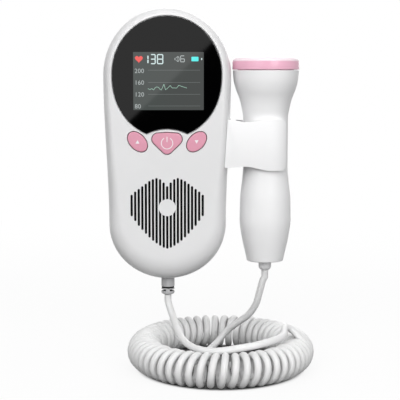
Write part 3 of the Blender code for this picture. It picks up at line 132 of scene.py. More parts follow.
# %% [markdown]
# Each end of the cord runs straight for a hand's width: one from the unit forward and down over
# the near side of the oval, and one from the oval's end over the floor and up to the probe. A
# curve through a few named points, resampled at an even step, bends the way a stiff cord does.

# %% Follow the two straight leads
UNIT_EXIT = Vector((0.0, -0.0160, -0.0787))
PROBE_EXIT = Vector((0.0506, -0.0160, -0.0659))
SEAM = 0.0003

UNIT_LEAD_ROUTE = (
    (0.0010, -0.0175, -0.0858),
    (0.0030, -0.0230, -0.0905),
    (0.0054, -0.0330, -0.0950),
    (0.0086, -0.0440, -0.0980),
    (0.0137, -0.0540, -0.0993),
    (0.0205, -0.0605, -0.0995),
    (0.0273, -0.0633, -0.0987),
    (0.0350, -0.0638, -0.0974),
    (0.0428, -0.0615, -0.0966),
    (0.0508, -0.0562, -0.0957),
    (0.0566, -0.0497, -0.0952),
    (0.0588, -0.0440, -0.0945),
    (0.0592, -0.0388, -0.0936),
    (0.0604, -0.0348, -0.0931),
    (0.0629, -0.0332, -0.0938),
)
PROBE_LEAD_ROUTE = (
    (0.0560, -0.0280, -0.1134),
    (0.0470, -0.0295, -0.1134),
    (0.0370, -0.0310, -0.1134),
    (0.0275, -0.0298, -0.1134),
    (0.0205, -0.0235, -0.1134),
    (0.0183, -0.0145, -0.1132),
    (0.0206, -0.0050, -0.1122),
    (0.0258, 0.0012, -0.1085),
    (0.0314, 0.0012, -0.1020),
    (0.0372, -0.0030, -0.0964),
    (0.0424, -0.0075, -0.0917),
    (0.0462, -0.0115, -0.0852),
    (0.0481, -0.0142, -0.0778),
    (0.0494, -0.0157, -0.0722),
)


def smooth_route(route, step):
    """Points at an even step along a smooth curve through the route's points."""
    knots = [Vector(point) for point in route]
    knots = [knots[0] * 2 - knots[1]] + knots + [knots[-1] * 2 - knots[-2]]
    dense = []
    for p0, p1, p2, p3 in zip(knots, knots[1:], knots[2:], knots[3:]):
        for s in range(12):
            t = s / 12
            a = 2 * p1 + (p2 - p0) * t
            b = (2 * p0 - 5 * p1 + 4 * p2 - p3) * t * t
            c = (3 * p1 - p0 - 3 * p2 + p3) * t * t * t
            dense.append((a + b + c) / 2)
    dense.append(knots[-2])
    return evened(dense, step)


def evened(dense, step):
    """The same path with its points at an even spacing."""
    lengths = [0.0]
    for a, b in zip(dense, dense[1:]):
        lengths.append(lengths[-1] + (b - a).length)
    count = max(round(lengths[-1] / step), 2)
    points = []
    j = 0
    for i in range(count + 1):
        want = lengths[-1] * i / count
        while j < len(dense) - 2 and lengths[j + 1] < want:
            j += 1
        share = (want - lengths[j]) / (lengths[j + 1] - lengths[j])
        points.append(dense[j].lerp(dense[j + 1], min(share, 1.0)))
    return points


def straight_end(place, direction):
    way = Vector(direction).normalized()
    return [place + way * SEAM, place + way * (SEAM + CORD_DIAMETER)]


def length_of(points):
    return sum((b - a).length for a, b in zip(points, points[1:]))


down = Vector((0.0, 0.0, -1.0))
leave = straight_end(UNIT_EXIT, down)
meet = straight_end(coil[0], coil[0] - coil[1])[::-1]
unit_lead = [leave[0]] + smooth_route([leave[1], *UNIT_LEAD_ROUTE, meet[0]], 0.0022) + [meet[1]]
leave = straight_end(coil[-1], coil[-1] - coil[-2])
meet = straight_end(PROBE_EXIT, down)[::-1]
probe_lead = [leave[0]] + smooth_route([leave[1], *PROBE_LEAD_ROUTE, meet[0]], 0.0022) + [meet[1]]
print(f"unit lead {length_of(unit_lead):.3f} m, probe lead {length_of(probe_lead):.3f} m")

# %% [markdown]
# A cord could be a curve with a round bevel, but a tube of faces is as easy to make. The first
# piece runs from the unit's strain relief through every curl and goes with the casing. The
# second one runs from the coil's end up to the probe.

# %% Make the cord
def tube_mesh(name, points, radius, sides=14):
    """A round tube with closed ends, swept along points with a frame that never spins about them."""
    shape = bmesh.new()
    rows = []
    side = Vector((1.0, 0.0, 0.0))
    for i, point in enumerate(points):
        ahead = points[min(i + 1, len(points) - 1)] - points[max(i - 1, 0)]
        ahead.normalize()
        side = (side - ahead * side.dot(ahead)).normalized()
        other = ahead.cross(side)
        row = []
        for k in range(sides):
            a = math.tau * k / sides
            row.append(shape.verts.new(point + (side * math.cos(a) + other * math.sin(a)) * radius))
        rows.append(row)
    for low, high in zip(rows, rows[1:]):
        for k in range(sides):
            shape.faces.new((low[k], low[k - 1], high[k - 1], high[k]))
    shape.faces.new(rows[0])
    shape.faces.new(rows[-1])
    bmesh.ops.recalc_face_normals(shape, faces=shape.faces)
    mesh = bpy.data.meshes.new(name)
    shape.to_mesh(mesh)
    shape.free()
    mesh.shade_smooth()
    mesh.set_sharp_from_angle(angle=math.radians(50))
    made = bpy.data.objects.new(name, mesh)
    bpy.context.scene.collection.objects.link(made)
    return made


long_path = unit_lead + coil[1:]
curly_piece = tube_mesh("curly_cord_piece", long_path, CORD_DIAMETER / 2, 12)
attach(curly_piece, "casing")
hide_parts("unit_lead", "curly_cord")
length_of(long_path)
[tuple(point) for point in long_path]
probe_lead_piece = tube_mesh("probe_lead_piece", probe_lead, CORD_DIAMETER / 2)
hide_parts("probe_lead")
length_of(probe_lead)
[tuple(point) for point in probe_lead]
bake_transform(probe_lead_piece)
print(f"cord through the curls: {length_of(long_path):.2f} m")

# %% [markdown]
# Finishes come next. Every finish is a small graph of nodes, and sums in a graph are hard to
# read as calls. So one class wraps a socket and lets it take part in Python sums, and another
# owns a material and makes every other node through one method.

# %% A socket that can be added and multiplied
class Value:
    """An output socket of a graph. Sums of values become Math nodes."""

    def __init__(self, graph, socket):
        self.graph = graph
        self.socket = socket

    def math(self, operation, one, two=0.0):
        return self.graph.node("ShaderNodeMath", {"operation": operation}, {0: one, 1: two})

    def __add__(self, other):
        return self.math("ADD", self, other)

    def __radd__(self, other):
        return self.math("ADD", other, self)

    def __sub__(self, other):
        return self.math("SUBTRACT", self, other)

    def __rsub__(self, other):
        return self.math("SUBTRACT", other, self)

    def __mul__(self, other):
        return self.math("MULTIPLY", self, other)

    def __rmul__(self, other):
        return self.math("MULTIPLY", other, self)

    def __truediv__(self, other):
        return self.math("DIVIDE", self, other)

    def __abs__(self):
        return self.math("ABSOLUTE", self)

    def above(self, edge, soft):
        """0 below an edge and 1 above it, with a soft step of the given width."""
        return self.graph.node(
            "ShaderNodeMapRange",
            {"interpolation_type": "SMOOTHSTEP"},
            {"Value": self, "From Min": edge - soft / 2, "From Max": edge + soft / 2},
        )


class Graph:
    """A node tree whose nodes all come from one method."""

    def __init__(self, tree):
        self.tree = tree

    def node(self, kind, settings=None, inputs=None, output=0):
        made = self.tree.nodes.new(kind)
        for name, value in (settings or {}).items():
            if name == "stops":
                for k, (place, colour) in enumerate(value):
                    stop = made.color_ramp.elements[k] if k < 2 else made.color_ramp.elements.new(place)
                    stop.position = place
                    stop.color = (*colour, 1.0)
            else:
                setattr(made, name, value)
        for name, value in (inputs or {}).items():
            self.feed(made.inputs[name], value)
        return Value(self, made.outputs[output])

    def feed(self, socket, value):
        if isinstance(value, Value):
            self.tree.links.new(value.socket, socket)
        else:
            socket.default_value = value

    def mix(self, share, one, two):
        """A colour between two colours."""
        colours = [value if isinstance(value, Value) else (*value, 1.0) for value in (one, two)]
        settings = {"data_type": "RGBA"}
        return self.node("ShaderNodeMix", settings, {0: share, 6: colours[0], 7: colours[1]}, 2)

    def noise(self, place, scale, detail=2.0, roughness=0.5):
        inputs = {"Vector": place, "Scale": scale, "Detail": detail, "Roughness": roughness}
        return self.node("ShaderNodeTexNoise", {}, inputs)


class Finish(Graph):
    """A material on the Principled shader, with object space in metres at hand."""

    def __init__(self, name, **constants):
        self.material = bpy.data.materials.new(name)
        self.material.use_nodes = True
        super().__init__(self.material.node_tree)
        self.shader = self.tree.nodes["Principled BSDF"]
        for socket, value in constants.items():
            self.shader.inputs[socket.replace("_", " ")].default_value = value
        self.place = self.node("ShaderNodeTexCoord", output=3)

    def axis(self, letter):
        return self.node("ShaderNodeSeparateXYZ", {}, {0: self.place}, "XYZ".index(letter))

    def set(self, **links):
        for socket, value in links.items():
            self.feed(self.shader.inputs[socket.replace("_", " ")], value)
        return self

    def bump(self, height, distance, strength=1.0, after=None):
        inputs = {"Height": height, "Distance": distance, "Strength": strength}
        if after is not None:
            inputs["Normal"] = after
        return self.node("ShaderNodeBump", {}, inputs)


# %% [markdown]
# Moulded plastic is never one flat colour. The tool leaves a fine spark grain, thick places look
# a touch deeper in colour, and handling polishes some areas more than others. Three noises do
# that: a wide one for the colour, a middle one for the sheen and a fine one for the grain.

# %% Moulded plastic
def moulded(name, colour, sheen, grain=0.000006, grain_scale=2600.0, depth=0.03, **constants):
    """Moulded plastic: colour with slight clouds, sheen that varies, and a fine grain."""
    made = Finish(name, **constants)
    clouds = made.noise(made.place, 32.0, 3.0)
    darker = tuple(c * (1.0 - depth) for c in colour)
    handled = made.noise(made.place, 110.0, 4.0, 0.6)
    fine = made.noise(made.place, grain_scale, 2.0)
    made.set(
        Base_Color=made.mix(clouds.above(0.5, 0.5), darker, colour),
        Roughness=sheen + (handled - 0.5) * 0.10,
        Normal=made.bump(fine, grain),
    )
    return made


case_white = moulded("case_white_finish", (0.77, 0.77, 0.775), 0.36)
probe_white = moulded("probe_white_finish", (0.86, 0.86, 0.865), 0.44, grain=0.000002, depth=0.015)
clip_white = moulded("clip_white_finish", (0.90, 0.90, 0.905), 0.46, grain=0.000003, depth=0.015)
key_pink = moulded("key_pink_finish", (0.73, 0.32, 0.425), 0.42, grain=0.000008)
dark_plastic = moulded("dark_plastic_finish", (0.008, 0.008, 0.008), 0.60)
relief_grey = moulded("relief_grey_finish", (0.50, 0.50, 0.51), 0.48)
print("moulded finishes made")

# %% [markdown]
# The cord's jacket is extruded, so its grain is soft and its sheen even. A slow noise keeps
# neighbouring curls from looking identical.

# %% The cord's jacket
cord_white = moulded(
    "cord_white_finish", (0.79, 0.79, 0.79), 0.46, grain=0.000004, grain_scale=900.0, depth=0.05
)
for piece in (curly_piece, probe_lead_piece):
    piece.data.materials.append(cord_white.material)

# %% [markdown]
# The casing seen from the front has two half ellipses joined by slightly drawn-in flanks. Its
# edge rounding is tight at the top and grows wide at the foot. A loft of rings follows both,
# because each ring can carry its own inset at every point; a bevel could only keep one width.

# %% The casing's outline
TOP_HALF_WIDTH, TOP_RISE, TOP_Z = 0.0328, 0.0345, 0.0350
FOOT_HALF_WIDTH, FOOT_DROP, FOOT_Z = 0.0302, 0.0283, -0.0412
CASE_FOOT = FOOT_Z - FOOT_DROP
CASE_DEPTH, PARTING_DEPTH = 0.0320, 0.0160
CASE_WALL, FACE_WALL = 0.0020, 0.0026
CASE_DRAFT = 0.0003
BACK_ROUND = 0.0065
FRONT_ROUND_DEPTH, FRONT_ROUND_TOP, FRONT_ROUND_FOOT = 0.0090, 0.0042, 0.0120
GAP = 0.0003
TOP_STEPS, SIDE_STEPS, FOOT_STEPS = 72, 26, 60


def ease(t):
    t = min(max(t, 0.0), 1.0)
    return t * t * (3 - 2 * t)


def left_flank(t, inset):
    width = TOP_HALF_WIDTH + (FOOT_HALF_WIDTH - TOP_HALF_WIDTH) * ease(t)
    return inset - width, TOP_Z + (FOOT_Z - TOP_Z) * t


def case_point(k, inset):
    if k <= TOP_STEPS:
        a = math.pi * k / TOP_STEPS
        return (TOP_HALF_WIDTH - inset) * math.cos(a), TOP_Z + (TOP_RISE - inset) * math.sin(a)
    k -= TOP_STEPS
    if k < SIDE_STEPS:
        return left_flank(k / SIDE_STEPS, inset)
    k -= SIDE_STEPS
    if k <= FOOT_STEPS:
        a = math.pi + math.pi * k / FOOT_STEPS
        return (FOOT_HALF_WIDTH - inset) * math.cos(a), FOOT_Z + (FOOT_DROP - inset) * math.sin(a)
    x, z = left_flank(1 - (k - FOOT_STEPS) / SIDE_STEPS, inset)
    return -x, z


def case_ring(depth, inset_at):
    ring = []
    for k in range(TOP_STEPS + FOOT_STEPS + 2 * SIDE_STEPS):
        x, z = case_point(k, inset_at(case_point(k, 0)[1]))
        ring.append((x, -depth, z))
    return ring


def front_round(z):
    t = max((z - TOP_Z) / (CASE_FOOT - TOP_Z), 0.0)
    return FRONT_ROUND_TOP + (FRONT_ROUND_FOOT - FRONT_ROUND_TOP) * t ** 2.4


# %% Helpers for solids
def add_piece(name, shape, finish=None, body=None, replaces=(), sharp=30.0):
    """Turn a bmesh into an object; one without a finish is a cutter."""
    bmesh.ops.recalc_face_normals(shape, faces=shape.faces)
    mesh = bpy.data.meshes.new(name)
    shape.to_mesh(mesh)
    shape.free()
    made = bpy.data.objects.new(name, mesh)
    bpy.context.scene.collection.objects.link(made)
    if finish:
        dress(made, finish, body, replaces, sharp)
    return made


def dress(made, finish, body, replaces=(), sharp=30.0):
    if not made.data.materials:
        made.data.materials.append(finish.material)
    made.data.shade_smooth()
    made.data.set_sharp_from_angle(angle=math.radians(sharp))
    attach(made, body)
    if replaces:
        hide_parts(*replaces)


def loft(rings, closed=False, caps=True):
    shape = bmesh.new()
    rows = [[shape.verts.new(point) for point in ring] for ring in rings]
    pairs = list(zip(rows, rows[1:])) + ([(rows[-1], rows[0])] if closed else [])
    for low, high in pairs:
        for i in range(len(low)):
            shape.faces.new((low[i - 1], low[i], high[i], high[i - 1]))
    if caps and not closed:
        shape.faces.new(rows[0])
        shape.faces.new(rows[-1])
    return shape


def prism(outline, back, front):
    """An outline of (x, z) points between two depths in front of the flat back."""
    return loft([[(x, -depth, z) for x, z in outline] for depth in (back, front)])


def upright_prism(outline, low, high):
    """An outline of (x, depth) points between two heights."""
    return loft([[(x, -depth, z) for x, depth in outline] for z in (low, high)])


def block(low, high):
    """A box between two corners, each given as (x, depth, z)."""
    corners = [(low[0], low[2]), (high[0], low[2]), (high[0], high[2]), (low[0], high[2])]
    return prism(corners, low[1], high[1])


def turned(profile, segments, place, closed=True):
    """Turn (radius, height) points; a closed profile gives a ring, an open one a full solid."""
    turns = [math.tau * s / segments for s in range(segments)]

    def at(radius, a, height):
        return place(radius * math.cos(a), radius * math.sin(a), height)

    if closed:
        return loft([[at(r, a, h) for r, h in profile] for a in turns], closed=True)
    shape = loft([[at(r, a, h) for a in turns] for r, h in profile[1:-1]], caps=False)
    shape.verts.ensure_lookup_table()
    for (_, h), first in ((profile[0], 0), (profile[-1], (len(profile) - 3) * segments)):
        tip = shape.verts.new(place(0.0, 0.0, h))
        shape.verts.ensure_lookup_table()
        for i in range(segments):
            shape.faces.new((tip, shape.verts[first + i], shape.verts[first + (i + 1) % segments]))
    return shape


def upright_axis(x, depth):
    return lambda u, v, h: (x + u, v - depth, h)


def facing_axis(x, z):
    return lambda u, v, h: (x + u, -h, z + v)


def carve(target, cutters, operation="DIFFERENCE"):
    """Cut or join solids and keep the result as the target's own mesh."""
    for cutter in cutters:
        step = target.modifiers.new("carve", "BOOLEAN")
        step.operation = operation
        step.solver = "EXACT"
        step.object = cutter
    settle(target)
    for cutter in cutters:
        bpy.data.objects.remove(cutter, do_unlink=True)


def settle(target):
    """Keep what the modifiers show as the mesh itself."""
    bpy.context.view_layer.update()
    graph = bpy.context.evaluated_depsgraph_get()
    kept = bpy.data.meshes.new_from_object(target.evaluated_get(graph))
    target.modifiers.clear()
    target.data = kept


def soften(target, width, segments=3, angle=40.0):
    step = target.modifiers.new("edge", "BEVEL")
    step.width = width
    step.segments = segments
    step.limit_method = "ANGLE"
    step.angle_limit = math.radians(angle)
    settle(target)


# %% [markdown]
# Outlines of the lens, the keys and the slots are lists of points too. The lens is an ellipse
# above and a fuller curve below, cut by a hollow arch that makes room for the power key.

# %% Outlines on the face
def circle(x, z, radius, steps):
    turns = (math.tau * s / steps for s in range(steps))
    return [(x + radius * math.cos(a), z + radius * math.sin(a)) for a in turns]


def rounded_hull(centres, radius, steps=8):
    outline = []
    for i, (x, z) in enumerate(centres):
        before = centres[i - 1]
        after = centres[(i + 1) % len(centres)]
        start = math.atan2(-(x - before[0]), z - before[1])
        end = math.atan2(-(after[0] - x), after[1] - z)
        turn = (end - start) % math.tau
        for s in range(steps + 1):
            a = start + turn * s / steps
            outline.append((x + radius * math.cos(a), z + radius * math.sin(a)))
    return outline


def rounded_box(x, z, half_width, half_height, corner, steps=8):
    dx, dz = half_width - corner, half_height - corner
    corners = ((x - dx, z - dz), (x + dx, z - dz), (x + dx, z + dz), (x - dx, z + dz))
    return rounded_hull(corners, corner, steps)


def grown(outline, distance):
    """The outline moved outwards by a distance, corner by corner."""
    count = len(outline)
    area = sum(outline[i - 1][0] * outline[i][1] - outline[i][0] * outline[i - 1][1] for i in range(count))
    side = 1 if area > 0 else -1
    moved = []
    for i in range(count):
        here = Vector(outline[i])
        one = (here - Vector(outline[i - 1])).normalized()
        two = (Vector(outline[(i + 1) % count]) - here).normalized()
        normal = (Vector((one.y, -one.x)) + Vector((two.y, -two.x))).normalized()
        reach = max(normal.dot(Vector((one.y, -one.x))), 0.5)
        moved.append(tuple(here + normal * (side * distance / reach)))
    return moved


def lens_outline(steps=44):
    half_width, centre, rise, drop, power = 0.02755, 0.0356, 0.0289, 0.0321, 2.25
    tip_x, arch_z = 0.0102, 0.0080
    tip = (1 - (tip_x / half_width) ** 2) ** (1 / power)
    arch = arch_z - (centre - drop * tip)
    radius = (tip_x ** 2 + arch ** 2) / (2 * arch)
    half = []
    for s in range(13):
        x = tip_x * 0.97 * s / 12
        half.append((x, arch_z - radius + math.sqrt(radius ** 2 - x ** 2)))
    for s in range(steps):
        t = tip * math.cos(math.pi / 2 * (s + 0.9) / (steps + 0.9))
        half.append((half_width * math.sqrt(1 - t ** power), centre - drop * t))
    for s in range(steps):
        a = math.pi / 2 * s / steps
        half.append((half_width * math.cos(a), centre + rise * math.sin(a)))
    return half + [(0.0, centre + rise)] + [(-x, z) for x, z in half[:0:-1]]


def power_outline():
    corner = 0.0030
    x = 0.0076 - corner
    centres = ((0.0, -0.0046 + corner), (x, 0.0029), (0.0, 0.0032), (-x, 0.0029))
    return rounded_hull(centres, corner, 14)


def side_key_outline(side):
    outline = []
    lean = math.radians(46)
    for s in range(64):
        a = math.tau * s / 64
        long, short = 0.0059 * math.cos(a), 0.00385 * math.sin(a)
        x = long * math.cos(lean) - short * math.sin(lean)
        outline.append((side * (0.0149 + x), 0.0016 + long * math.sin(lean) + short * math.cos(lean)))
    return outline


KEYS = {"power": power_outline(), "up": side_key_outline(-1), "down": side_key_outline(1)}
SCREEN_X, SCREEN_Z, SCREEN_HALF_WIDTH, SCREEN_HALF_HEIGHT = 0.0008, 0.0321, 0.0177, 0.0145
print("lens outline:", len(lens_outline()), "points")

# %% [markdown]
# The front half of the casing is a shell of two lofts, one inside the other. Its openings are
# cut with solids that flare at the surface, which leaves the small chamfer that a real mould has
# at every opening and that catches a line of light around the lens.

# %% The front shell
def front_rings(wall, face_wall, steps=14):
    """Rings of the front's skin, from a softened rim to its flat face."""
    rim = CASE_DEPTH - FRONT_ROUND_DEPTH
    start = PARTING_DEPTH + GAP / 2
    rings = [case_ring(start, lambda z: wall)]
    if not wall:
        rings = [case_ring(start, lambda z: 0.0003), case_ring(start + 0.0003, lambda z: 0.0)]
    for s in range(steps + 1):
        a = math.pi / 2 * s / steps
        inward = 1 - math.cos(a)
        sunk = CASE_DRAFT + wall * math.cos(a)
        depth = rim + (FRONT_ROUND_DEPTH - face_wall) * math.sin(a)
        rings.append(case_ring(depth, lambda z: sunk + front_round(z) * inward))
    flat = CASE_DRAFT + 0.0006
    rings.append(case_ring(CASE_DEPTH - face_wall, lambda z: flat + front_round(z)))
    return rings


def flared_cut(name, outline, floor, flare, top=CASE_DEPTH):
    """A cutter that widens by a small chamfer where it meets the surface."""
    wide = grown(outline, flare)
    steps = ((floor, outline), (top - flare, outline), (top, wide), (top + 0.0010, wide))
    return add_piece(name, loft([[(x, -depth, z) for x, z in ring] for depth, ring in steps]))


SLOT_HALF, SLOT_RIM = 0.0005, 0.0006
HEART_HALF_WIDTH, HEART_Z = 0.0180, -0.0318
HEART_TOP_SHARES = (0.604, 0.709, 0.802, 0.835, 0.802, 0.753, 0.676, 0.604, 0.527, 0.451, 0.363)
HEART_FOOT_SHARES = (1.159, 1.132, 1.077, 1.011, 0.934, 0.841, 0.736, 0.626, 0.511, 0.374, 0.236)


def heart_slots():
    """Twenty-one upright slots under a heart outline, less a blank disc in the middle."""
    cutter = bmesh.new()
    for column in range(-10, 11):
        x = HEART_HALF_WIDTH / 10 * column
        top = HEART_Z + HEART_HALF_WIDTH * HEART_TOP_SHARES[abs(column)]
        foot = HEART_Z - HEART_HALF_WIDTH * HEART_FOOT_SHARES[abs(column)]
        rows = []
        for depth, half in ((0.0285, SLOT_HALF), (0.0319, SLOT_HALF), (0.0320, SLOT_RIM), (0.0330, SLOT_RIM)):
            ring = []
            for centre, first in ((foot + SLOT_HALF, math.pi), (top - SLOT_HALF, 0.0)):
                for s in range(9):
                    a = first + math.pi * s / 8
                    spot = (x + half * math.cos(a), -depth, centre + half * math.sin(a))
                    ring.append(cutter.verts.new(spot))
            rows.append(ring)
        for low, high in zip(rows, rows[1:]):
            for i in range(len(low)):
                cutter.faces.new((low[i - 1], low[i], high[i], high[i - 1]))
        cutter.faces.new(rows[0])
        cutter.faces.new(rows[-1])
    slots = add_piece("slots", cutter)
    carve(slots, [add_piece("blank_disc", prism(circle(0.0, HEART_Z, 0.0043, 48), 0.0280, 0.0340))])
    # The slot walls take the black plastic: painted shade inside the slots.
    for finish in (case_white, dark_plastic):
        slots.data.materials.append(finish.material)
    for face in slots.data.polygons:
        face.material_index = 1
    return slots


front = add_piece("front_case", loft(front_rings(0.0, 0.0)[::-1] + front_rings(CASE_WALL, FACE_WALL)))
for finish in (case_white, dark_plastic):
    front.data.materials.append(finish.material)
window = rounded_box(SCREEN_X, SCREEN_Z, SCREEN_HALF_WIDTH + 0.0008, SCREEN_HALF_HEIGHT + 0.0008, 0.0016)
cutters = [
    flared_cut("lens_cut", grown(lens_outline(), GAP), 0.0307, 0.00025),
    add_piece("window_cut", prism(window, 0.0280, 0.0320)),
    heart_slots(),
]
for key, outline in KEYS.items():
    cutters.append(flared_cut(key + "_cut", grown(outline, 0.00035), 0.0280, 0.00015))
relief_ring = circle(0.0, PARTING_DEPTH, 0.00375, 48)
cutters.append(add_piece("relief_cut", upright_prism(relief_ring, CASE_FOOT - 0.0010, CASE_FOOT + 0.0040)))
carve(front, cutters)
dress(front, case_white, "casing", ["front_shell"])
print("front shell:", len(front.data.polygons), "faces")

# %% [markdown]
# The rear half has the battery bay, its four screw recesses and the pocket for the cover's hook.
# It is built in the same way, so both halves meet at one seam with a soft edge on either side.

# %% The rear shell
BAY_HALF_WIDTH, BAY_TOP_Z, BAY_FOOT_Z = 0.01665, -0.0045, -0.0587
BAY_Z, BAY_HALF_HEIGHT = (BAY_TOP_Z + BAY_FOOT_Z) / 2, (BAY_TOP_Z - BAY_FOOT_Z) / 2
BAY_FLOOR = 0.0169
SCREW_PLACES = ((-0.0165, 0.0550), (0.0165, 0.0550), (-0.0230, -0.0440), (0.0230, -0.0440))


def back_rings(wall, steps=12):
    start = PARTING_DEPTH - GAP / 2
    rings = [case_ring(start, lambda z: wall)]
    if not wall:
        rings = [case_ring(start, lambda z: 0.0003), case_ring(start - 0.0003, lambda z: 0.0)]
    for s in range(steps + 1):
        a = math.pi / 2 * s / steps
        inset = CASE_DRAFT + BACK_ROUND * (1 - math.cos(a)) + wall * math.cos(a)
        rings.append(case_ring(wall + (BACK_ROUND - wall) * (1 - math.sin(a)), lambda z: inset))
    rings.append(case_ring(wall, lambda z: CASE_DRAFT + BACK_ROUND + 0.0006))
    return rings


def bay_outline(margin):
    return rounded_box(0.0, BAY_Z, BAY_HALF_WIDTH + margin, BAY_HALF_HEIGHT + margin, 0.0040 + margin, 12)


def countersunk(name, outline, depth, flare):
    """A cutter from the back that widens by a small chamfer at the surface."""
    wide = grown(outline, flare)
    steps = ((-0.0010, wide), (0.0, wide), (flare, outline), (depth, outline))
    return add_piece(name, loft([[(x, -d, z) for x, z in ring] for d, ring in steps]))


rear = add_piece("rear_case", loft(back_rings(0.0)[::-1] + back_rings(CASE_WALL)))
joined = [
    add_piece("tub", prism(bay_outline(0.0014), 0.0010, BAY_FLOOR + 0.0014)),
    add_piece(
        "hook_house",
        block((-0.0044, 0.0010, BAY_TOP_Z - 0.0010), (0.0044, 0.0055, BAY_TOP_Z + 0.0035)),
    ),
]
for number, (x, z) in enumerate(SCREW_PLACES):
    pillar = prism(circle(x, z, 0.0036, 32), 0.0010, PARTING_DEPTH - GAP / 2)
    joined.append(add_piece(f"pillar_{number}", pillar))
carve(rear, joined, "UNION")
cutters = [
    countersunk("bay_cut", bay_outline(0.0), BAY_FLOOR, 0.0002),
    add_piece(
        "hook_cut",
        block((-0.0030, 0.0017, BAY_TOP_Z - 0.0020), (0.0030, 0.0041, BAY_TOP_Z + 0.0021)),
    ),
    add_piece("rear_relief_cut", upright_prism(relief_ring, CASE_FOOT - 0.0010, CASE_FOOT + 0.0040)),
]
for number, (x, z) in enumerate(SCREW_PLACES):
    cutters.append(countersunk(f"head_cut_{number}", circle(x, z, 0.0027, 32), 0.0060, 0.0003))
    shank = prism(circle(x, z, 0.0013, 24), 0.0, PARTING_DEPTH + 0.0010)
    cutters.append(add_piece(f"shank_cut_{number}", shank))
carve(rear, cutters)
dress(rear, case_white, "casing", ["rear_shell"])
print("rear shell:", len(rear.data.polygons), "faces")

# %% [markdown]
# The battery cover lies flush in the back. Its thumb grip is a row of short grooves near the
# foot, where the thumb pushes it out of its snap. Its hook reaches under the back's edge.

# %% The battery cover
def cushioned(outline, back, front, edge, crown=0.0, steps=5):
    """A flat piece with a rounded front edge and, if asked, a slightly raised middle."""
    rings = [[(x, -back, z) for x, z in outline]]
    for s in range(steps + 1):
        a = math.pi / 2 * s / steps
        rim = grown(outline, -edge * (1 - math.cos(a)))
        rings.append([(x, -(front - crown - edge * (1 - math.sin(a))), z) for x, z in rim])
    if crown:
        cx = sum(x for x, z in outline) / len(outline)
        cz = sum(z for x, z in outline) / len(outline)
        for s in range(1, 8):
            left = 1 - s / 8
            depth = front - crown + crown * (1 - left ** 2)
            rings.append([(cx + (x - cx) * left, -depth, cz + (z - cz) * left) for x, z in rim])
    return loft(rings)


cover_outline = bay_outline(-0.0003)
cover_rings = []
for depth, inset in ((0.0, 0.0003), (0.0001, 0.0001), (0.0003, 0.0), (0.0020, 0.0)):
    cover_rings.append([(x, -depth, z) for x, z in grown(cover_outline, -inset)])
cover = add_piece("battery_door", loft(cover_rings))
hook = [
    add_piece(
        "hook_root",
        block((-0.0024, 0.0010, BAY_TOP_Z - 0.0012), (0.0024, 0.0033, BAY_TOP_Z - 0.0006)),
    ),
    add_piece(
        "hook_tongue",
        block((-0.0024, 0.0020, BAY_TOP_Z - 0.0006), (0.0024, 0.0033, BAY_TOP_Z + 0.0018)),
    ),
]
carve(cover, hook, "UNION")
grooves = []
for rib in range(5):
    z = BAY_FOOT_Z + 0.0050 + 0.0022 * rib
    bar = rounded_box(0.0, z, 0.0070, 0.00045, 0.00044, 6)
    grooves.append(countersunk(f"groove_{rib}", bar, 0.0006, 0.0002))
carve(cover, grooves)
dress(cover, case_white, "cover", ["battery_cover"])
print("battery cover:", len(cover.data.polygons), "faces")

# %% [markdown]
# The lens is a clear plate that is printed black behind, except over the display. A block of
# clear glass would do, but black gloss with a window for the picture looks the same from
# outside, and the picture's own gloss carries the reflection on over the window.

# %% The lens
LENS_BACK, LENS_FRONT = 0.0310, 0.0322
lens_black = Finish("lens_black_finish", IOR=1.49)
smear = lens_black.noise(lens_black.place, 60.0, 3.0, 0.6)
lens_black.set(
    Base_Color=lens_black.mix(smear, (0.0004, 0.0004, 0.0004), (0.0008, 0.0008, 0.0009)),
    Roughness=0.02 + smear * 0.03,
)
lens = add_piece("lens_plate", cushioned(lens_outline(), LENS_BACK, LENS_FRONT, 0.0003))
opening = rounded_box(SCREEN_X, SCREEN_Z, SCREEN_HALF_WIDTH, SCREEN_HALF_HEIGHT, 0.0003, 3)
carve(lens, [add_piece("lens_window_cut", prism(opening, 0.0300, 0.0330))])
dress(lens, lens_black, "casing", ["display_lens"], sharp=8.0)

# %% [markdown]
# The display is bonded to the lens and lit from behind, so its picture gives off light and
# seems to lie just under the gloss. The picture is made of thin flat shapes on a dim panel: a
# heart, segment digits, a loudness mark, a battery mark, a scale with faint lines and a trace.
# All are generic marks with generic numbers.

# %% The lit panel
PICTURE = LENS_FRONT - 0.00015
MM = 0.001


def lit(name):
    """A display colour: black gloss that gives off light of its own."""
    return Finish(name, IOR=1.49, Base_Color=(0.0, 0.0, 0.0, 1.0), Emission_Strength=1.0)


def on_screen(u, v, layer=0):
    """A point on a layer of the picture, which is drawn on a sheet of 36.2 by 29.8 units."""
    x = SCREEN_X - SCREEN_HALF_WIDTH + u * SCREEN_HALF_WIDTH / 18.1
    z = SCREEN_Z + SCREEN_HALF_HEIGHT - v * SCREEN_HALF_HEIGHT / 14.9
    return (x, -(PICTURE + layer * 0.00004), z)


panel_grey = lit("panel_finish")
across = panel_grey.axis("X")
haze = panel_grey.noise(panel_grey.place, 60.0, 2.0)
left_to_right = (across - (SCREEN_X - SCREEN_HALF_WIDTH)) / (2 * SCREEN_HALF_WIDTH)
# The glow's shift from greenish at the left to neutral grey at the right is a painted reflection.
panel_grey.set(
    Emission_Color=panel_grey.mix(
        left_to_right.above(0.45, 1.1) * 0.8 + haze * 0.2, (0.070, 0.082, 0.078), (0.076, 0.080, 0.078)
    ),
    Roughness=0.02 + haze * 0.03,
)
add_piece("display_panel", block(
    (SCREEN_X - SCREEN_HALF_WIDTH - 0.0004, 0.03070, SCREEN_Z - SCREEN_HALF_HEIGHT - 0.0004),
    (SCREEN_X + SCREEN_HALF_WIDTH + 0.0004, PICTURE, SCREEN_Z + SCREEN_HALF_HEIGHT + 0.0004),
), panel_grey, "casing")

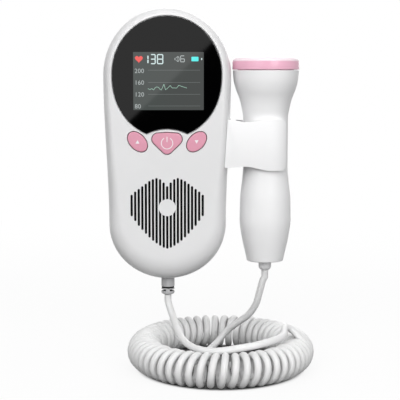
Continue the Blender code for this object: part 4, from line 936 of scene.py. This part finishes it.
# %% Marks on the panel
LIT_COLOURS = {
    "mark_white": (0.70, 0.86, 0.86),
    "mark_dim": (0.46, 0.50, 0.50),
    "mark_faint": (0.19, 0.21, 0.205),
    "mark_red": (0.95, 0.13, 0.12),
    "mark_cyan": (0.14, 0.95, 0.92),
    "mark_green": (0.36, 0.56, 0.46),
}
lit_finishes = {}
for name, colour in LIT_COLOURS.items():
    made = lit(name)
    glow = made.noise(made.place, 900.0, 1.0)
    dimmer = tuple(c * 0.92 for c in colour)
    made.set(Emission_Color=made.mix(glow, dimmer, colour), Roughness=0.02 + glow * 0.03)
    lit_finishes[name] = made


def marks(name, shapes, colour, layer=2):
    """Flat shapes, each a list of (u, v) points, as one thin mesh on the picture."""
    shape = bmesh.new()
    for points in shapes:
        shape.faces.new([shape.verts.new(on_screen(u, v, layer)) for u, v in points])
    for face in shape.faces:
        face.normal_update()
        if face.normal.y > 0:
            face.normal_flip()
    mesh = bpy.data.meshes.new(name)
    shape.to_mesh(mesh)
    shape.free()
    mesh.materials.append(lit_finishes[colour].material)
    made = bpy.data.objects.new(name, mesh)
    bpy.context.scene.collection.objects.link(made)
    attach(made, "casing")
    return made


def bar(u0, v0, u1, v1, width):
    """A straight stroke with pointed ends, as the segments of a digit have."""
    along = Vector((u1 - u0, v1 - v0)).normalized()
    side = Vector((-along.y, along.x)) * width / 2
    tip = along * width / 2
    one, two = Vector((u0, v0)), Vector((u1, v1))
    corners = (one, one + tip + side, two - tip + side, two, two - tip - side, one + tip - side)
    return [tuple(corner) for corner in corners]


SEGMENTS = {"1": "bc", "3": "abgcd", "6": "afgecd", "8": "abcdefg"}


def digit(character, u, v, width, height, stroke):
    """The bars of one segment digit whose top left corner is at (u, v)."""
    left, right = u + stroke / 2, u + width - stroke / 2
    top, middle, foot = v + stroke / 2, v + height / 2, v + height - stroke / 2
    bars = {
        "a": (left, top, right, top),
        "b": (right, top, right, middle),
        "c": (right, middle, right, foot),
        "d": (left, foot, right, foot),
        "e": (left, middle, left, foot),
        "f": (left, top, left, middle),
        "g": (left, middle, right, middle),
    }
    return [bar(*bars[letter], stroke) for letter in SEGMENTS[character]]


PX = 0.5142
big = digit("1", 4.25, 1.45, 3.7, 4.7, 0.66)
big += digit("3", 8.8, 1.05, 2.8, 5.2, 0.55) + digit("8", 12.2, 1.05, 3.3, 5.2, 0.55)
marks("rate_digits", big, "mark_white")
marks("loudness_digit", digit("6", 24.1, 1.75, 2.4, 3.5, 0.42), "mark_dim")
for number, v in (("200", 10.75), ("160", 16.75), ("120", 22.85), ("80", 28.95)):
    line = bpy.data.curves.new(f"scale_{number}", "FONT")
    line.body = number
    line.size = 3.1 * MM
    line.space_character = 1.05
    label = bpy.data.objects.new(f"scale_{number}", line)
    label.location = on_screen(0.7, v, 2)
    label.rotation_euler = (math.radians(90), 0.0, 0.0)
    line.materials.append(lit_finishes["mark_dim"].material)
    bpy.context.scene.collection.objects.link(label)
    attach(label, "casing")
print("digits and scale numbers made")

# %% [markdown]
# The heart is drawn with its well-known curve, the trace with a thin ribbon through a dozen
# points, and the scale lines as hairlines.

# %% Heart, battery, loudness mark, lines and trace
def heart_shape(u, v, size):
    points = []
    for s in range(40):
        a = math.tau * s / 40
        x = 16 * math.sin(a) ** 3
        y = 13 * math.cos(a) - 5 * math.cos(2 * a) - 2 * math.cos(3 * a) - math.cos(4 * a)
        points.append((u + x * size / 32, v - y * size / 32))
    return points


def ribbon(points, width):
    shapes = []
    for (u0, v0), (u1, v1) in zip(points, points[1:]):
        along = Vector((u1 - u0, v1 - v0))
        side = Vector((-along.y, along.x)).normalized() * width / 2
        one, two = Vector((u0, v0)), Vector((u1, v1))
        shapes.append([tuple(one + side), tuple(two + side), tuple(two - side), tuple(one - side)])
    return shapes


def rectangle(u0, v0, u1, v1):
    return [(u0, v0), (u1, v0), (u1, v1), (u0, v1)]


def round_rectangle(u0, v0, u1, v1, corner):
    half_width, half_height = (u1 - u0) / 2, (v1 - v0) / 2
    return rounded_box((u0 + u1) / 2, (v0 + v1) / 2, half_width, half_height, corner, 4)


marks("heart_mark", [heart_shape(2.95, 3.55, 4.0)], "mark_red", 3)
marks("battery_fill", [round_rectangle(29.9, 2.45, 33.5, 4.75, 0.3)], "mark_cyan", 3)
marks("battery_nub", [round_rectangle(34.85, 3.1, 35.4, 4.1, 0.2)], "mark_white", 3)
horn = [(21.3, 3.2), (21.9, 3.2), (22.9, 2.2), (22.9, 5.0), (21.9, 4.0), (21.3, 4.0)]
wave = []
for s in range(9):
    a = math.radians(-52 + 104 * s / 8)
    wave.append((21.9 + 1.75 * math.cos(a), 3.6 + 1.75 * math.sin(a)))
marks("loudness_mark", ribbon(horn + horn[:1], 0.22) + ribbon(wave, 0.28), "mark_dim", 3)
lines = [rectangle(7.6, v - 0.09, 34.4, v + 0.09) for v in (9.3, 15.6, 21.7, 27.7)]
marks("scale_lines", lines, "mark_faint", 1)
trace_px = (
    (148.2, 88.3), (149.8, 89.7), (152.0, 88.4), (153.6, 89.9), (155.0, 88.0), (156.4, 86.9), (158.4, 87.0),
    (160.0, 89.0), (161.4, 89.9), (162.6, 87.3), (164.1, 84.0), (165.6, 89.7), (167.8, 88.0), (170.3, 85.3),
    (172.3, 87.8), (176.8, 87.9), (178.9, 85.2), (182.3, 86.5), (187.0, 87.9),
)
trace = [((x - 133.4) * PX, (y - 52.0) * PX) for x, y in trace_px]
marks("rate_trace", ribbon(trace, 0.26), "mark_green", 2)

# %% [markdown]
# Each key is a soft cap with a rounded edge and a slightly raised middle, so it feels the
# fingertip. Its white symbol is a thin print on top. Caps and symbols ride on the keys' own
# bodies and sink together.

# %% The three keys and their symbols
KEY_FRONT = CASE_DEPTH + 0.0007
for key, outline in KEYS.items():
    cap = add_piece(f"{key}_cap", cushioned(outline, 0.0284, KEY_FRONT, 0.00045, 0.00012))
    dress(cap, key_pink, f"{key}_key", [f"{key}_button"], 50.0)

print_white = moulded("print_white_finish", (0.86, 0.84, 0.85), 0.45, grain=0.000001)


def printed(name, outlines, body):
    """A print on a key: thin flat shapes that stand a hair above its crown."""
    shape = bmesh.new()
    for outline in outlines:
        rows = []
        for depth in (KEY_FRONT - 0.0001, KEY_FRONT + 0.00003):
            rows.append([shape.verts.new((x * MM, -depth, z * MM)) for x, z in outline])
        for i in range(len(outline)):
            shape.faces.new((rows[0][i - 1], rows[0][i], rows[1][i], rows[1][i - 1]))
        shape.faces.new(rows[0])
        shape.faces.new(rows[1])
    return add_piece(name, shape, print_white, body)


def arc_band(x, z, inner, outer, first, last, steps=40):
    turns = [math.radians(first + (last - first) * s / steps) for s in range(steps + 1)]
    outside = [(x + outer * math.cos(a), z + outer * math.sin(a)) for a in turns]
    inside = [(x + inner * math.cos(a), z + inner * math.sin(a)) for a in reversed(turns)]
    return outside + inside


ring = arc_band(0.0, 0.95, 2.70, 3.08, 122, 418)
stroke = rounded_box(0.0, 2.85, 0.20, 1.40, 0.19, 5)
printed("power_symbol", [ring, stroke], "power_key")
printed("up_symbol", [[(-15.9, 0.75), (-13.9, 0.75), (-14.9, 2.50)]], "up_key")
printed("down_symbol", [[(13.9, 2.45), (14.9, 0.70), (15.9, 2.45)]], "down_key")
print("keys made")

# %% [markdown]
# The clip is one moulding: a web that is glued to the unit's flank and two arms that close
# around the probe's waist. It is cut from an upright extrusion by the outline that it has from
# the front, then by the casing itself, and its edges are softened last.

# %% The snap clip
PROBE_X, PROBE_DEPTH = 0.0506, 0.0160
WAIST_RADIUS = 0.668 * 0.0172
CLIP_INNER = WAIST_RADIUS + GAP
CLIP_WALL = 0.0022


def clip_plan(inner, outer):
    mouth = math.pi / 2 - math.radians(51)
    left, web = 0.0294 - CLIP_WALL, TOP_HALF_WIDTH + 0.0024
    middle, half = (inner + outer) / 2, (outer - inner) / 2

    def around(radius, a):
        return PROBE_X + radius * math.cos(a), PROBE_DEPTH + radius * math.sin(a)

    arm = [(left, PROBE_DEPTH + outer)]
    for s in range(29):
        arm.append(around(outer, math.pi / 2 - (math.pi / 2 - mouth) * s / 28))
    tip_x, tip_depth = around(middle, mouth)
    for s in range(1, 8):
        a = mouth - math.pi * s / 8
        arm.append((tip_x + half * math.cos(a), tip_depth + half * math.sin(a)))
    for s in range(29):
        arm.append(around(inner, mouth + (math.pi / 2 - mouth) * s / 28))
    for s in range(9):
        a = math.pi / 2 + math.pi / 2 * s / 8
        arm.append((web + 0.0020 + 0.0020 * math.cos(a), PROBE_DEPTH + inner - 0.0020 + 0.0020 * math.sin(a)))
    return arm + [(x, 2 * PROBE_DEPTH - depth) for x, depth in arm[::-1]]


def clip_face():
    corner, left, right, top_z, foot_z = 0.0026, 0.0294, 0.0604, 0.0127, -0.0118
    span = right - corner - left
    top, foot = [], []
    for s in range(33):
        t = s / 32
        dip = 0.0013 * math.sin(math.pi * min(t / 0.8, 1.0)) ** 2
        top.append((left + span * t, top_z - dip))
        foot.append((left + span * t, foot_z + dip / 2 - 0.0016 * ease((t - 0.35) / 0.5)))
    bend = []
    for centre_z, first in ((foot[-1][1] + corner, -math.pi / 2), (top[-1][1] - corner, 0.0)):
        for s in range(1, 11):
            a = first + math.pi / 2 * s / 10
            bend.append((right - corner + corner * math.cos(a), centre_z + corner * math.sin(a)))
    return [(left - 0.0044, foot[0][1])] + foot + bend[:-1] + top[::-1] + [(left - 0.0044, top[0][1])]


def case_envelope(margin):
    """The whole casing grown by a margin, as one solid."""
    rings = []
    for ring in back_rings(0.0)[:0:-1] + front_rings(0.0, 0.0)[1:]:
        outline = grown([(x, z) for x, y, z in ring], margin)
        rings.append([(x, ring[0][1], z) for x, z in outline])
    rings[0] = [(x, margin, z) for x, y, z in rings[0]]
    rings[-1] = [(x, y - margin, z) for x, y, z in rings[-1]]
    return loft(rings)


clip = add_piece("clip_arms", upright_prism(clip_plan(CLIP_INNER, CLIP_INNER + CLIP_WALL), -0.03, 0.03))
carve(clip, [add_piece("clip_front_cut", prism(clip_face(), -0.0010, CASE_DEPTH + 0.0010))], "INTERSECT")
carve(clip, [add_piece("case_cut", case_envelope(GAP))])
soften(clip, 0.0006, 3)
dress(clip, clip_white, "casing", ["probe_clip"])
print("clip:", len(clip.data.polygons), "faces")

# %% [markdown]
# The probe is turned: a handle that narrows to a waist, swells again, and flares into a wide
# head. A smooth curve through thirteen stations gives the radius at every height.

# %% The probe's handle
PROBE_FOOT_Z, PROBE_LENGTH, HEAD_RADIUS = -0.0611, 0.1053, 0.0172
PROBE_TOP_Z = PROBE_FOOT_Z + PROBE_LENGTH
RING_FOOT_Z = PROBE_TOP_Z - 0.0063
HEIGHT_SHARES = (0.0, 0.055, 0.11, 0.205, 0.3, 0.4, 0.47, 0.705, 0.76, 0.8, 0.85, 0.89, 0.937)
RADIUS_SHARES = (0.545, 0.62, 0.695, 0.77, 0.76, 0.7, 0.668, 0.672, 0.725, 0.79, 0.905, 0.965, 0.988)


def probe_radius(z):
    share = (z - PROBE_FOOT_Z) / PROBE_LENGTH
    last = len(HEIGHT_SHARES) - 1
    i = 0
    while i < last - 1 and share > HEIGHT_SHARES[i + 1]:
        i += 1

    def slope(k):
        if k in (0, last):
            near = 1 if k == 0 else last
            run = HEIGHT_SHARES[near] - HEIGHT_SHARES[near - 1]
            return (RADIUS_SHARES[near] - RADIUS_SHARES[near - 1]) / run
        one = (RADIUS_SHARES[k] - RADIUS_SHARES[k - 1]) / (HEIGHT_SHARES[k] - HEIGHT_SHARES[k - 1])
        two = (RADIUS_SHARES[k + 1] - RADIUS_SHARES[k]) / (HEIGHT_SHARES[k + 1] - HEIGHT_SHARES[k])
        return 2 * one * two / (one + two) if one * two > 0 else 0.0

    width = HEIGHT_SHARES[i + 1] - HEIGHT_SHARES[i]
    t = min(max((share - HEIGHT_SHARES[i]) / width, 0.0), 1.0)
    ends = (1 + 2 * t) * (1 - t) ** 2 * RADIUS_SHARES[i] + t * t * (3 - 2 * t) * RADIUS_SHARES[i + 1]
    slopes = t * (1 - t) ** 2 * width * slope(i) + t * t * (t - 1) * width * slope(i + 1)
    return (ends + slopes) * HEAD_RADIUS


probe_axis = upright_axis(PROBE_X, PROBE_DEPTH)
housing_top = RING_FOOT_Z - GAP
outer = []
foot_edge = 0.0004
for s in range(7):
    a = math.pi / 2 * s / 6
    z = PROBE_FOOT_Z + foot_edge * (1 - math.cos(a))
    outer.append((probe_radius(z) - foot_edge * (1 - math.sin(a)), z))
for s in range(1, 91):
    z = PROBE_FOOT_Z + foot_edge + (housing_top - PROBE_FOOT_Z - foot_edge - 0.0003) * s / 90
    outer.append((probe_radius(z), z))
outer.append((probe_radius(housing_top) - 0.0003, housing_top))
bore = probe_radius(RING_FOOT_Z - 0.0034) - 0.0020
inner = [(bore, housing_top), (bore, RING_FOOT_Z - 0.0037)]
for s in range(1, 14, 2):
    z = RING_FOOT_Z - 0.0037 + (PROBE_FOOT_Z + 0.0057 - RING_FOOT_Z) * s / 13
    inner.append((probe_radius(z) - 0.0020, z))
profile = [(0.0029, PROBE_FOOT_Z)] + outer + inner + [(0.0029, PROBE_FOOT_Z + 0.0020)]
handle = add_piece("probe_handle", turned(profile, 96, probe_axis), probe_white, "probe", ["probe_housing"])
print("probe handle:", len(handle.data.polygons), "faces")

# %% [markdown]
# The head ring is moulded in pink. Its pale top is a painted highlight on the ring's rounded top
# edge, so its colour follows height, and only the base colour needs a graph.

# %% The pink head ring and the face
ring_pink = Finish("ring_pink_finish", IOR=1.5)
height = ring_pink.axis("Z")
cloud = ring_pink.noise(ring_pink.place, 140.0, 3.0)
band = ring_pink.mix(cloud, (0.88, 0.46, 0.60), (0.93, 0.52, 0.66))
ring_pink.set(
    # The pale colour above this height is a painted highlight, not the ring's own colour.
    Base_Color=ring_pink.mix(height.above(PROBE_TOP_Z - 0.0019, 0.0009), band, (0.95, 0.82, 0.87)),
    Roughness=0.22 + cloud * 0.08,
)
rounding = 0.0022
profile = [(bore - GAP, RING_FOOT_Z), (HEAD_RADIUS - 0.0003, RING_FOOT_Z)]
for s in range(1, 5):
    a = math.pi / 2 * s / 4
    profile.append((HEAD_RADIUS - 0.0003 * (1 - math.sin(a)), RING_FOOT_Z + 0.0003 * (1 - math.cos(a))))
for s in range(13):
    a = math.pi / 2 * s / 12
    profile.append((HEAD_RADIUS - rounding * (1 - math.cos(a)), PROBE_TOP_Z - rounding * (1 - math.sin(a))))
lip, shelf = HEAD_RADIUS - 0.0028, PROBE_TOP_Z - 0.0036
profile += [(lip, PROBE_TOP_Z), (lip, shelf), (bore - 0.0018, shelf)]
profile += [(bore - 0.0018, RING_FOOT_Z - 0.0034), (bore - GAP, RING_FOOT_Z - 0.0034)]
add_piece("head_ring", turned(profile, 96, probe_axis), ring_pink, "probe", ["probe_head_ring"])

face_cream = moulded("face_cream_finish", (0.86, 0.74, 0.78), 0.20, grain=0.000001)
profile = [(0.0, shelf + GAP), (lip - GAP, shelf + GAP), (lip - GAP, PROBE_TOP_Z - 0.0007)]
for s in range(1, 9):
    t = s / 8
    profile.append(((lip - GAP) * (1 - t * 0.98), PROBE_TOP_Z - 0.0004 * (1 - t) ** 2 * 1.2))
profile.append((0.0, PROBE_TOP_Z))
face_solid = turned(profile, 96, probe_axis, closed=False)
add_piece("skin_face", face_solid, face_cream, "probe", ["probe_face"])
print("probe head made")

# %% [markdown]
# Where the cord leaves the unit, a short grey relief keeps it from kinking: a plain collar, then
# two cut grooves that let it flex. The probe has a shorter one.

# %% Strain reliefs
grooved = 0.0092 - 0.0046
pitch = grooved / 3
profile = [(0.0, CASE_FOOT + 0.0041), (0.00495, CASE_FOOT + 0.0041)]
profile += [(0.00495, CASE_FOOT + 0.0026), (0.00345, CASE_FOOT + 0.0026)]
for groove in range(2):
    top = CASE_FOOT - 0.0046 - pitch * groove - 0.00045
    profile += [(0.00345, top + 0.0002), (0.0033, top), (0.0021, top), (0.0021, top - 0.0009)]
    profile += [(0.0033, top - 0.0009), (0.00345, top - 0.0011)]
relief_end = CASE_FOOT - 0.0092
profile += [(0.00345, relief_end + 0.00095), (0.0032, relief_end + 0.0004), (0.0027, relief_end + 0.0001)]
profile += [(0.0025, relief_end), (0.0, relief_end)]
relief = add_piece("unit_relief", turned(profile, 48, upright_axis(0.0, PARTING_DEPTH), closed=False))
webs = []
for groove in range(2):
    top = CASE_FOOT - 0.0046 - pitch * groove
    half_x, half_depth = (0.00105, 0.0032) if groove else (0.0032, 0.00105)
    low, high = PARTING_DEPTH - half_depth, PARTING_DEPTH + half_depth
    webs.append(add_piece(f"web_{groove}", block((-half_x, low, top - 0.0018), (half_x, high, top))))
carve(relief, webs, "UNION")
relief.data.materials.append(relief_grey.material)
relief.data.materials.append(dark_plastic.material)
# Faces deep in the two grooves take the black plastic: painted shade in the grooves.
for face in relief.data.polygons:
    off_axis = math.hypot(face.center.x, face.center.y + PARTING_DEPTH)
    in_groove = relief_end + 0.0010 < face.center.z < CASE_FOOT - 0.0048
    face.material_index = 1 if in_groove and off_axis < 0.0030 else 0
dress(relief, relief_grey, "casing", ["unit_strain_relief"])
probe_end = PROBE_FOOT_Z - 0.0048
profile = [(0.0, PROBE_FOOT_Z + 0.0038), (0.0041, PROBE_FOOT_Z + 0.0038), (0.0041, PROBE_FOOT_Z + 0.0023)]
profile += [(0.0026, PROBE_FOOT_Z + 0.0023), (0.0026, PROBE_FOOT_Z - 0.0003), (0.0032, PROBE_FOOT_Z - 0.0003)]
profile += [(0.0033, PROBE_FOOT_Z - 0.0004), (0.0033, probe_end + 0.0016), (0.0031, probe_end + 0.0010)]
profile += [(0.0026, probe_end + 0.0003), (0.0023, probe_end), (0.0, probe_end)]
relief_pale = moulded("relief_pale_finish", (0.82, 0.82, 0.83), 0.48)
relief_solid = turned(profile, 48, probe_axis, closed=False)
add_piece("probe_relief", relief_solid, relief_pale, "probe", ["probe_strain_relief"])

# %% [markdown]
# Screws are seen at the bottom of their recesses, so each gets its crossed socket. The battery
# contacts and springs show when the cover is open; their wire is redrawn round.

# %% Screws, springs and bright metal
steel = Finish("steel_finish", Metallic=1.0)
drawn_out = steel.node("ShaderNodeMapping", {}, {"Vector": steel.place, "Scale": (1.0, 1.0, 9.0)})
brushed = steel.noise(drawn_out, 1400.0, 3.0)
steel.set(
    Base_Color=steel.mix(brushed, (0.50, 0.50, 0.49), (0.66, 0.66, 0.64)),
    Roughness=0.24 + brushed * 0.16,
    Normal=steel.bump(brushed, 0.000004),
)
for number_of, (x, z) in enumerate(SCREW_PLACES, start=1):
    seat = 0.0057
    profile = [(0.0, seat - 0.0015), (0.0012, seat - 0.0015), (0.0017, seat - 0.0013), (0.0021, seat - 0.0008)]
    profile += [(0.0021, seat), (0.0010, seat), (0.0010, seat + 0.0160), (0.0, seat + 0.0170)]
    screw = add_piece(f"screw_{number_of}", turned(profile, 32, facing_axis(x, z), closed=False))
    cross = []
    for half_x, half_z in ((0.0011, 0.00022), (0.00022, 0.0011)):
        low = (x - half_x, seat - 0.0020, z - half_z)
        high = (x + half_x, seat - 0.0007, z + half_z)
        cross.append(add_piece("cross", block(low, high)))
    carve(screw, cross)
    dress(screw, steel, "casing", [f"case_screw_{number_of}"])

CELL_DEPTH = 0.00945
for name, x, up in (("bridge_spring", -0.0074, 1), ("minus_spring", 0.0074, -1)):
    low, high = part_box(name)
    tall = high.z - low.z
    points = []
    for s in range(3 * 24 + 1):
        t = s / 72
        a = math.tau * 3 * t
        r = 0.0046 - 0.0028 * t
        height_at = (low.z + 0.00025) + (tall - 0.0005) * (t if up > 0 else 1 - t)
        points.append(Vector((x + r * math.cos(a), r * math.sin(a) - CELL_DEPTH, height_at)))
    wire = tube_mesh(f"{name}_wire", points, 0.00025, 8)
    wire.data.materials.append(steel.material)
    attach(wire, "casing")
    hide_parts(name)
print("screws and springs made")

# %% [markdown]
# The cells wear a dark wrap with a warm band at the end of the nub. Height alone decides the
# colour, so one graph with another edge height serves the cell that lies the other way round.

# %% The two cells
def cell_finish(name, edge, nub_up):
    made = Finish(name)
    z = made.axis("Z")
    warm = z.above(edge, 0.0002) if nub_up else 1 - z.above(edge, 0.0002)
    scuff = made.noise(made.place, 420.0, 3.0, 0.7)
    wrap = made.mix(scuff, (0.030, 0.034, 0.042), (0.050, 0.056, 0.066))
    made.set(
        Base_Color=made.mix(warm, wrap, (0.62, 0.34, 0.16)),
        Roughness=0.26 + scuff * 0.16,
        Metallic=warm * 0.6,
        Normal=made.bump(scuff, 0.000006),
    )
    return made


cell_finishes = {
    "battery_1": cell_finish("cell_one_finish", -0.0185, True),
    "battery_2": cell_finish("cell_two_finish", -0.0450, False),
}

# %% Finishes of the pieces inside
board_green = Finish("board_green_finish")
tracks = board_green.node(
    "ShaderNodeTexBrick",
    {"offset": 0.5},
    {
        "Vector": board_green.place,
        "Scale": 190.0,
        "Mortar Size": 0.03,
        "Color1": (0, 0, 0, 1),
        "Color2": (0, 0, 0, 1),
        "Mortar": (1, 1, 1, 1),
    },
)
speck = board_green.noise(board_green.place, 900.0, 2.0)
lacquer = board_green.mix(speck, (0.02, 0.13, 0.06), (0.03, 0.17, 0.08))
board_green.set(
    Base_Color=board_green.mix(tracks, lacquer, (0.07, 0.30, 0.14)),
    Roughness=0.34 + speck * 0.2,
)
cloth_black = Finish("cloth_black_finish", Roughness=0.95)
threads = {"Vector": cloth_black.place, "Scale": 900.0}
weave_x = cloth_black.node("ShaderNodeTexWave", {"bands_direction": "X"}, threads)
weave_z = cloth_black.node("ShaderNodeTexWave", {"bands_direction": "Z"}, threads)
weave = weave_x * weave_z
cloth_black.set(
    Base_Color=cloth_black.mix(weave, (0.003, 0.003, 0.003), (0.008, 0.008, 0.008)),
    Normal=cloth_black.bump(weave, 0.00002),
)
crystal = moulded("crystal_finish", (0.50, 0.46, 0.34), 0.40)
backing_brown = moulded("backing_finish", (0.20, 0.15, 0.10), 0.80, grain=0.00002, grain_scale=1500.0)
module_grey = moulded("module_finish", (0.09, 0.10, 0.10), 0.32)

INSIDE = {
    "board_green": ["main_board", "probe_board"],
    "cloth_black": ["speaker_cloth"],
    "crystal": ["transmit_crystal", "receive_crystal"],
    "backing_brown": ["crystal_backing"],
    "module_grey": ["lcd_module"],
    "steel": ["bridge_contact", "plus_contact", "minus_contact"],
    "dark_plastic": [
        "speaker", "power_switch", "up_switch", "down_switch", "power_plunger", "up_plunger", "down_plunger"
    ],
}
finishes = {
    "board_green": board_green,
    "cloth_black": cloth_black,
    "crystal": crystal,
    "backing_brown": backing_brown,
    "module_grey": module_grey,
    "steel": steel,
    "dark_plastic": dark_plastic,
}


def refinish(node, finish):
    """Give a carried-over solid its own finish through its object's material slots."""
    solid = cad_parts[node]
    if not solid.material_slots:
        solid.data.materials.append(finish.material)
    for place in solid.material_slots:
        place.material = finish.material


for finish_name, nodes in INSIDE.items():
    for node in nodes:
        refinish(node, finishes[finish_name])
for node, finish in cell_finishes.items():
    refinish(node, finish)
print("carried-over solids finished:", sum(len(nodes) for nodes in INSIDE.values()) + 2)

# %% [markdown]
# The stage is a pale floor under the cord. It is white to the camera and in reflections, and
# greyer as a bouncer of light, so that the unit's underside falls off into shade. Inside the
# cord's oval it is dark to the camera: a painted shadow under the coil.

# %% Floor
def light_path(graph):
    """1 for rays from the camera, from gloss and through glass, 0 for the others."""
    kinds = ("Is Camera Ray", "Is Glossy Ray", "Is Transmission Ray")
    rays = [graph.node("ShaderNodeLightPath", output=kind) for kind in kinds]
    return rays[0].math("MAXIMUM", rays[0], rays[1].math("MAXIMUM", rays[1], rays[2]))


floor_mesh = bmesh.new()
reach = 6.0
corners = ((-reach, -reach), (reach, -reach), (reach, reach), (-reach, reach))
floor_mesh.faces.new([floor_mesh.verts.new((x, y, FLOOR_Z - 0.0001)) for x, y in corners])
floor = add_piece("floor", floor_mesh)
floor_finish = Finish("floor_finish", Roughness=0.9)
seen = light_path(floor_finish)
from_coil = floor_finish.node(
    "ShaderNodeMapping",
    {"vector_type": "TEXTURE"},
    {
        "Vector": floor_finish.place,
        "Location": (OVAL_X, OVAL_Y, 0.0),
        "Scale": (OVAL_HALF_WIDTH, OVAL_HALF_DEPTH, 1.0),
    },
)
away = floor_finish.node("ShaderNodeVectorMath", {"operation": "LENGTH"}, {0: from_coil}, "Value")
# Inside the cord's oval the floor gets no glow and a dark colour: a painted shadow under the coil.
clear_of_painted_shadow = away.above(1.08, 0.10)
dark_bounce_and_painted_shadow = floor_finish.mix(seen, (0.02, 0.02, 0.02), (0.10, 0.10, 0.10))
floor_finish.set(Base_Color=floor_finish.mix(seen * clear_of_painted_shadow, dark_bounce_and_painted_shadow, (0.92, 0.92, 0.92)))
glow = floor_finish.node("ShaderNodeEmission", {}, {"Color": (1.0, 1.0, 1.0, 1.0), "Strength": 1.0})
share = seen * clear_of_painted_shadow * (0.88 + away.above(9.0, 10.0) * 0.12)
plain = Value(floor_finish, floor_finish.shader.outputs["BSDF"])
shown = floor_finish.node("ShaderNodeMixShader", {}, {0: share, 1: plain, 2: glow})
floor_finish.feed(floor_finish.tree.nodes["Material Output"].inputs["Surface"], shown)
floor.data.materials.append(floor_finish.material)

# %% [markdown]
# A real studio hangs a dark card and a grey card in front of a glossy lens, to give it one
# clean diagonal edge of reflection. Both cards stand behind the camera and show in gloss only.

# %% Cards for the lens to mirror
def card(name, corners, strength):
    shape = bmesh.new()
    shape.faces.new([shape.verts.new(corner) for corner in corners])
    made = add_piece(name, shape)
    material = bpy.data.materials.new(name + "_finish")
    material.use_nodes = True
    graph = Graph(material.node_tree)
    graph.tree.nodes.clear()
    glow = graph.node("ShaderNodeEmission", {}, {"Color": (1.0, 1.0, 1.0, 1.0), "Strength": strength})
    out = graph.tree.nodes.new("ShaderNodeOutputMaterial")
    graph.feed(out.inputs["Surface"], glow)
    made.data.materials.append(material)
    for ray in ("camera", "diffuse", "shadow", "transmission", "volume_scatter"):
        setattr(made, "visible_" + ray, False)
    return made


LENS_Y = -LENS_FRONT
CARD_Y = -0.80


def mirrored(x, z, card_y=CARD_Y):
    """Where a point of the lens shows the plane of the cards, as the camera sees it."""
    eye = camera.location
    share = (LENS_Y - card_y) / (LENS_Y - eye.y)
    return (x + (x - eye.x) * share, card_y, z + (z - eye.z) * share)


edge_high = Vector((0.0232, 0.0, 0.0520))
edge_low = Vector((-0.0194, 0.0, 0.0118))
along = (edge_high - edge_low).normalized()
high, low = edge_high + along * 0.10, edge_low - along * 0.10
side = Vector((along.z, 0.0, -along.x))
wide, overlap = side * 0.16, side * 0.01
dark = [mirrored(p.x, p.z) for p in (high, low, low + wide, high + wide)]
behind = (high + overlap, low + overlap, low - wide, high - wide)
grey = [mirrored(p.x, p.z, CARD_Y - 0.002) for p in behind]
card("dark_card", dark, 0.0)
card("grey_card", grey, 0.80)

# %% [markdown]
# Light is soft and plain: a large panel above and in front, a weaker one at each side, one behind
# for the back, and a pale room that gives more from above than from below.

# %% Lamps and room
def panel_light(name, place, target, size, power):
    lamp = bpy.data.objects.new(name, bpy.data.lights.new(name, "AREA"))
    lamp.data.shape = "SQUARE"
    lamp.data.size = size
    lamp.data.energy = power
    lamp.location = place
    lamp.rotation_euler = (Vector(target) - Vector(place)).to_track_quat("-Z", "Y").to_euler()
    bpy.context.scene.collection.objects.link(lamp)
    return lamp


panel_light("key_panel", (-0.08, -0.96, 0.78), (0.02, 0.0, 0.0), 0.70, 5.6)
panel_light("left_panel", (-0.46, -1.02, 0.22), (0.0, 0.0, -0.02), 0.50, 2.9)
panel_light("right_panel", (0.52, -1.02, 0.22), (0.03, 0.0, -0.02), 0.50, 4.4)
panel_light("back_panel", (0.20, 1.10, 0.40), (0.02, 0.0, 0.0), 0.80, 4.6)

room = bpy.data.worlds.new("room")
bpy.context.scene.world = room
room.use_nodes = True
room_graph = Graph(room.node_tree)
room_graph.tree.nodes.clear()
direction = room_graph.node("ShaderNodeTexCoord", output=0)
upward = room_graph.node("ShaderNodeSeparateXYZ", {}, {0: direction}, 2)
level = 0.04 + upward.above(-0.1, 0.3) * 0.12 + upward.above(0.1, 1.4) * 0.34
ends = {0: light_path(room_graph), 2: level, 3: 1.0}
strength = room_graph.node("ShaderNodeMix", {"data_type": "FLOAT"}, ends)
white = (1.0, 1.0, 1.0, 1.0)
background = room_graph.node("ShaderNodeBackground", {}, {"Color": white, "Strength": strength})
room_out = room_graph.tree.nodes.new("ShaderNodeOutputWorld")
room_graph.feed(room_out.inputs["Surface"], background)
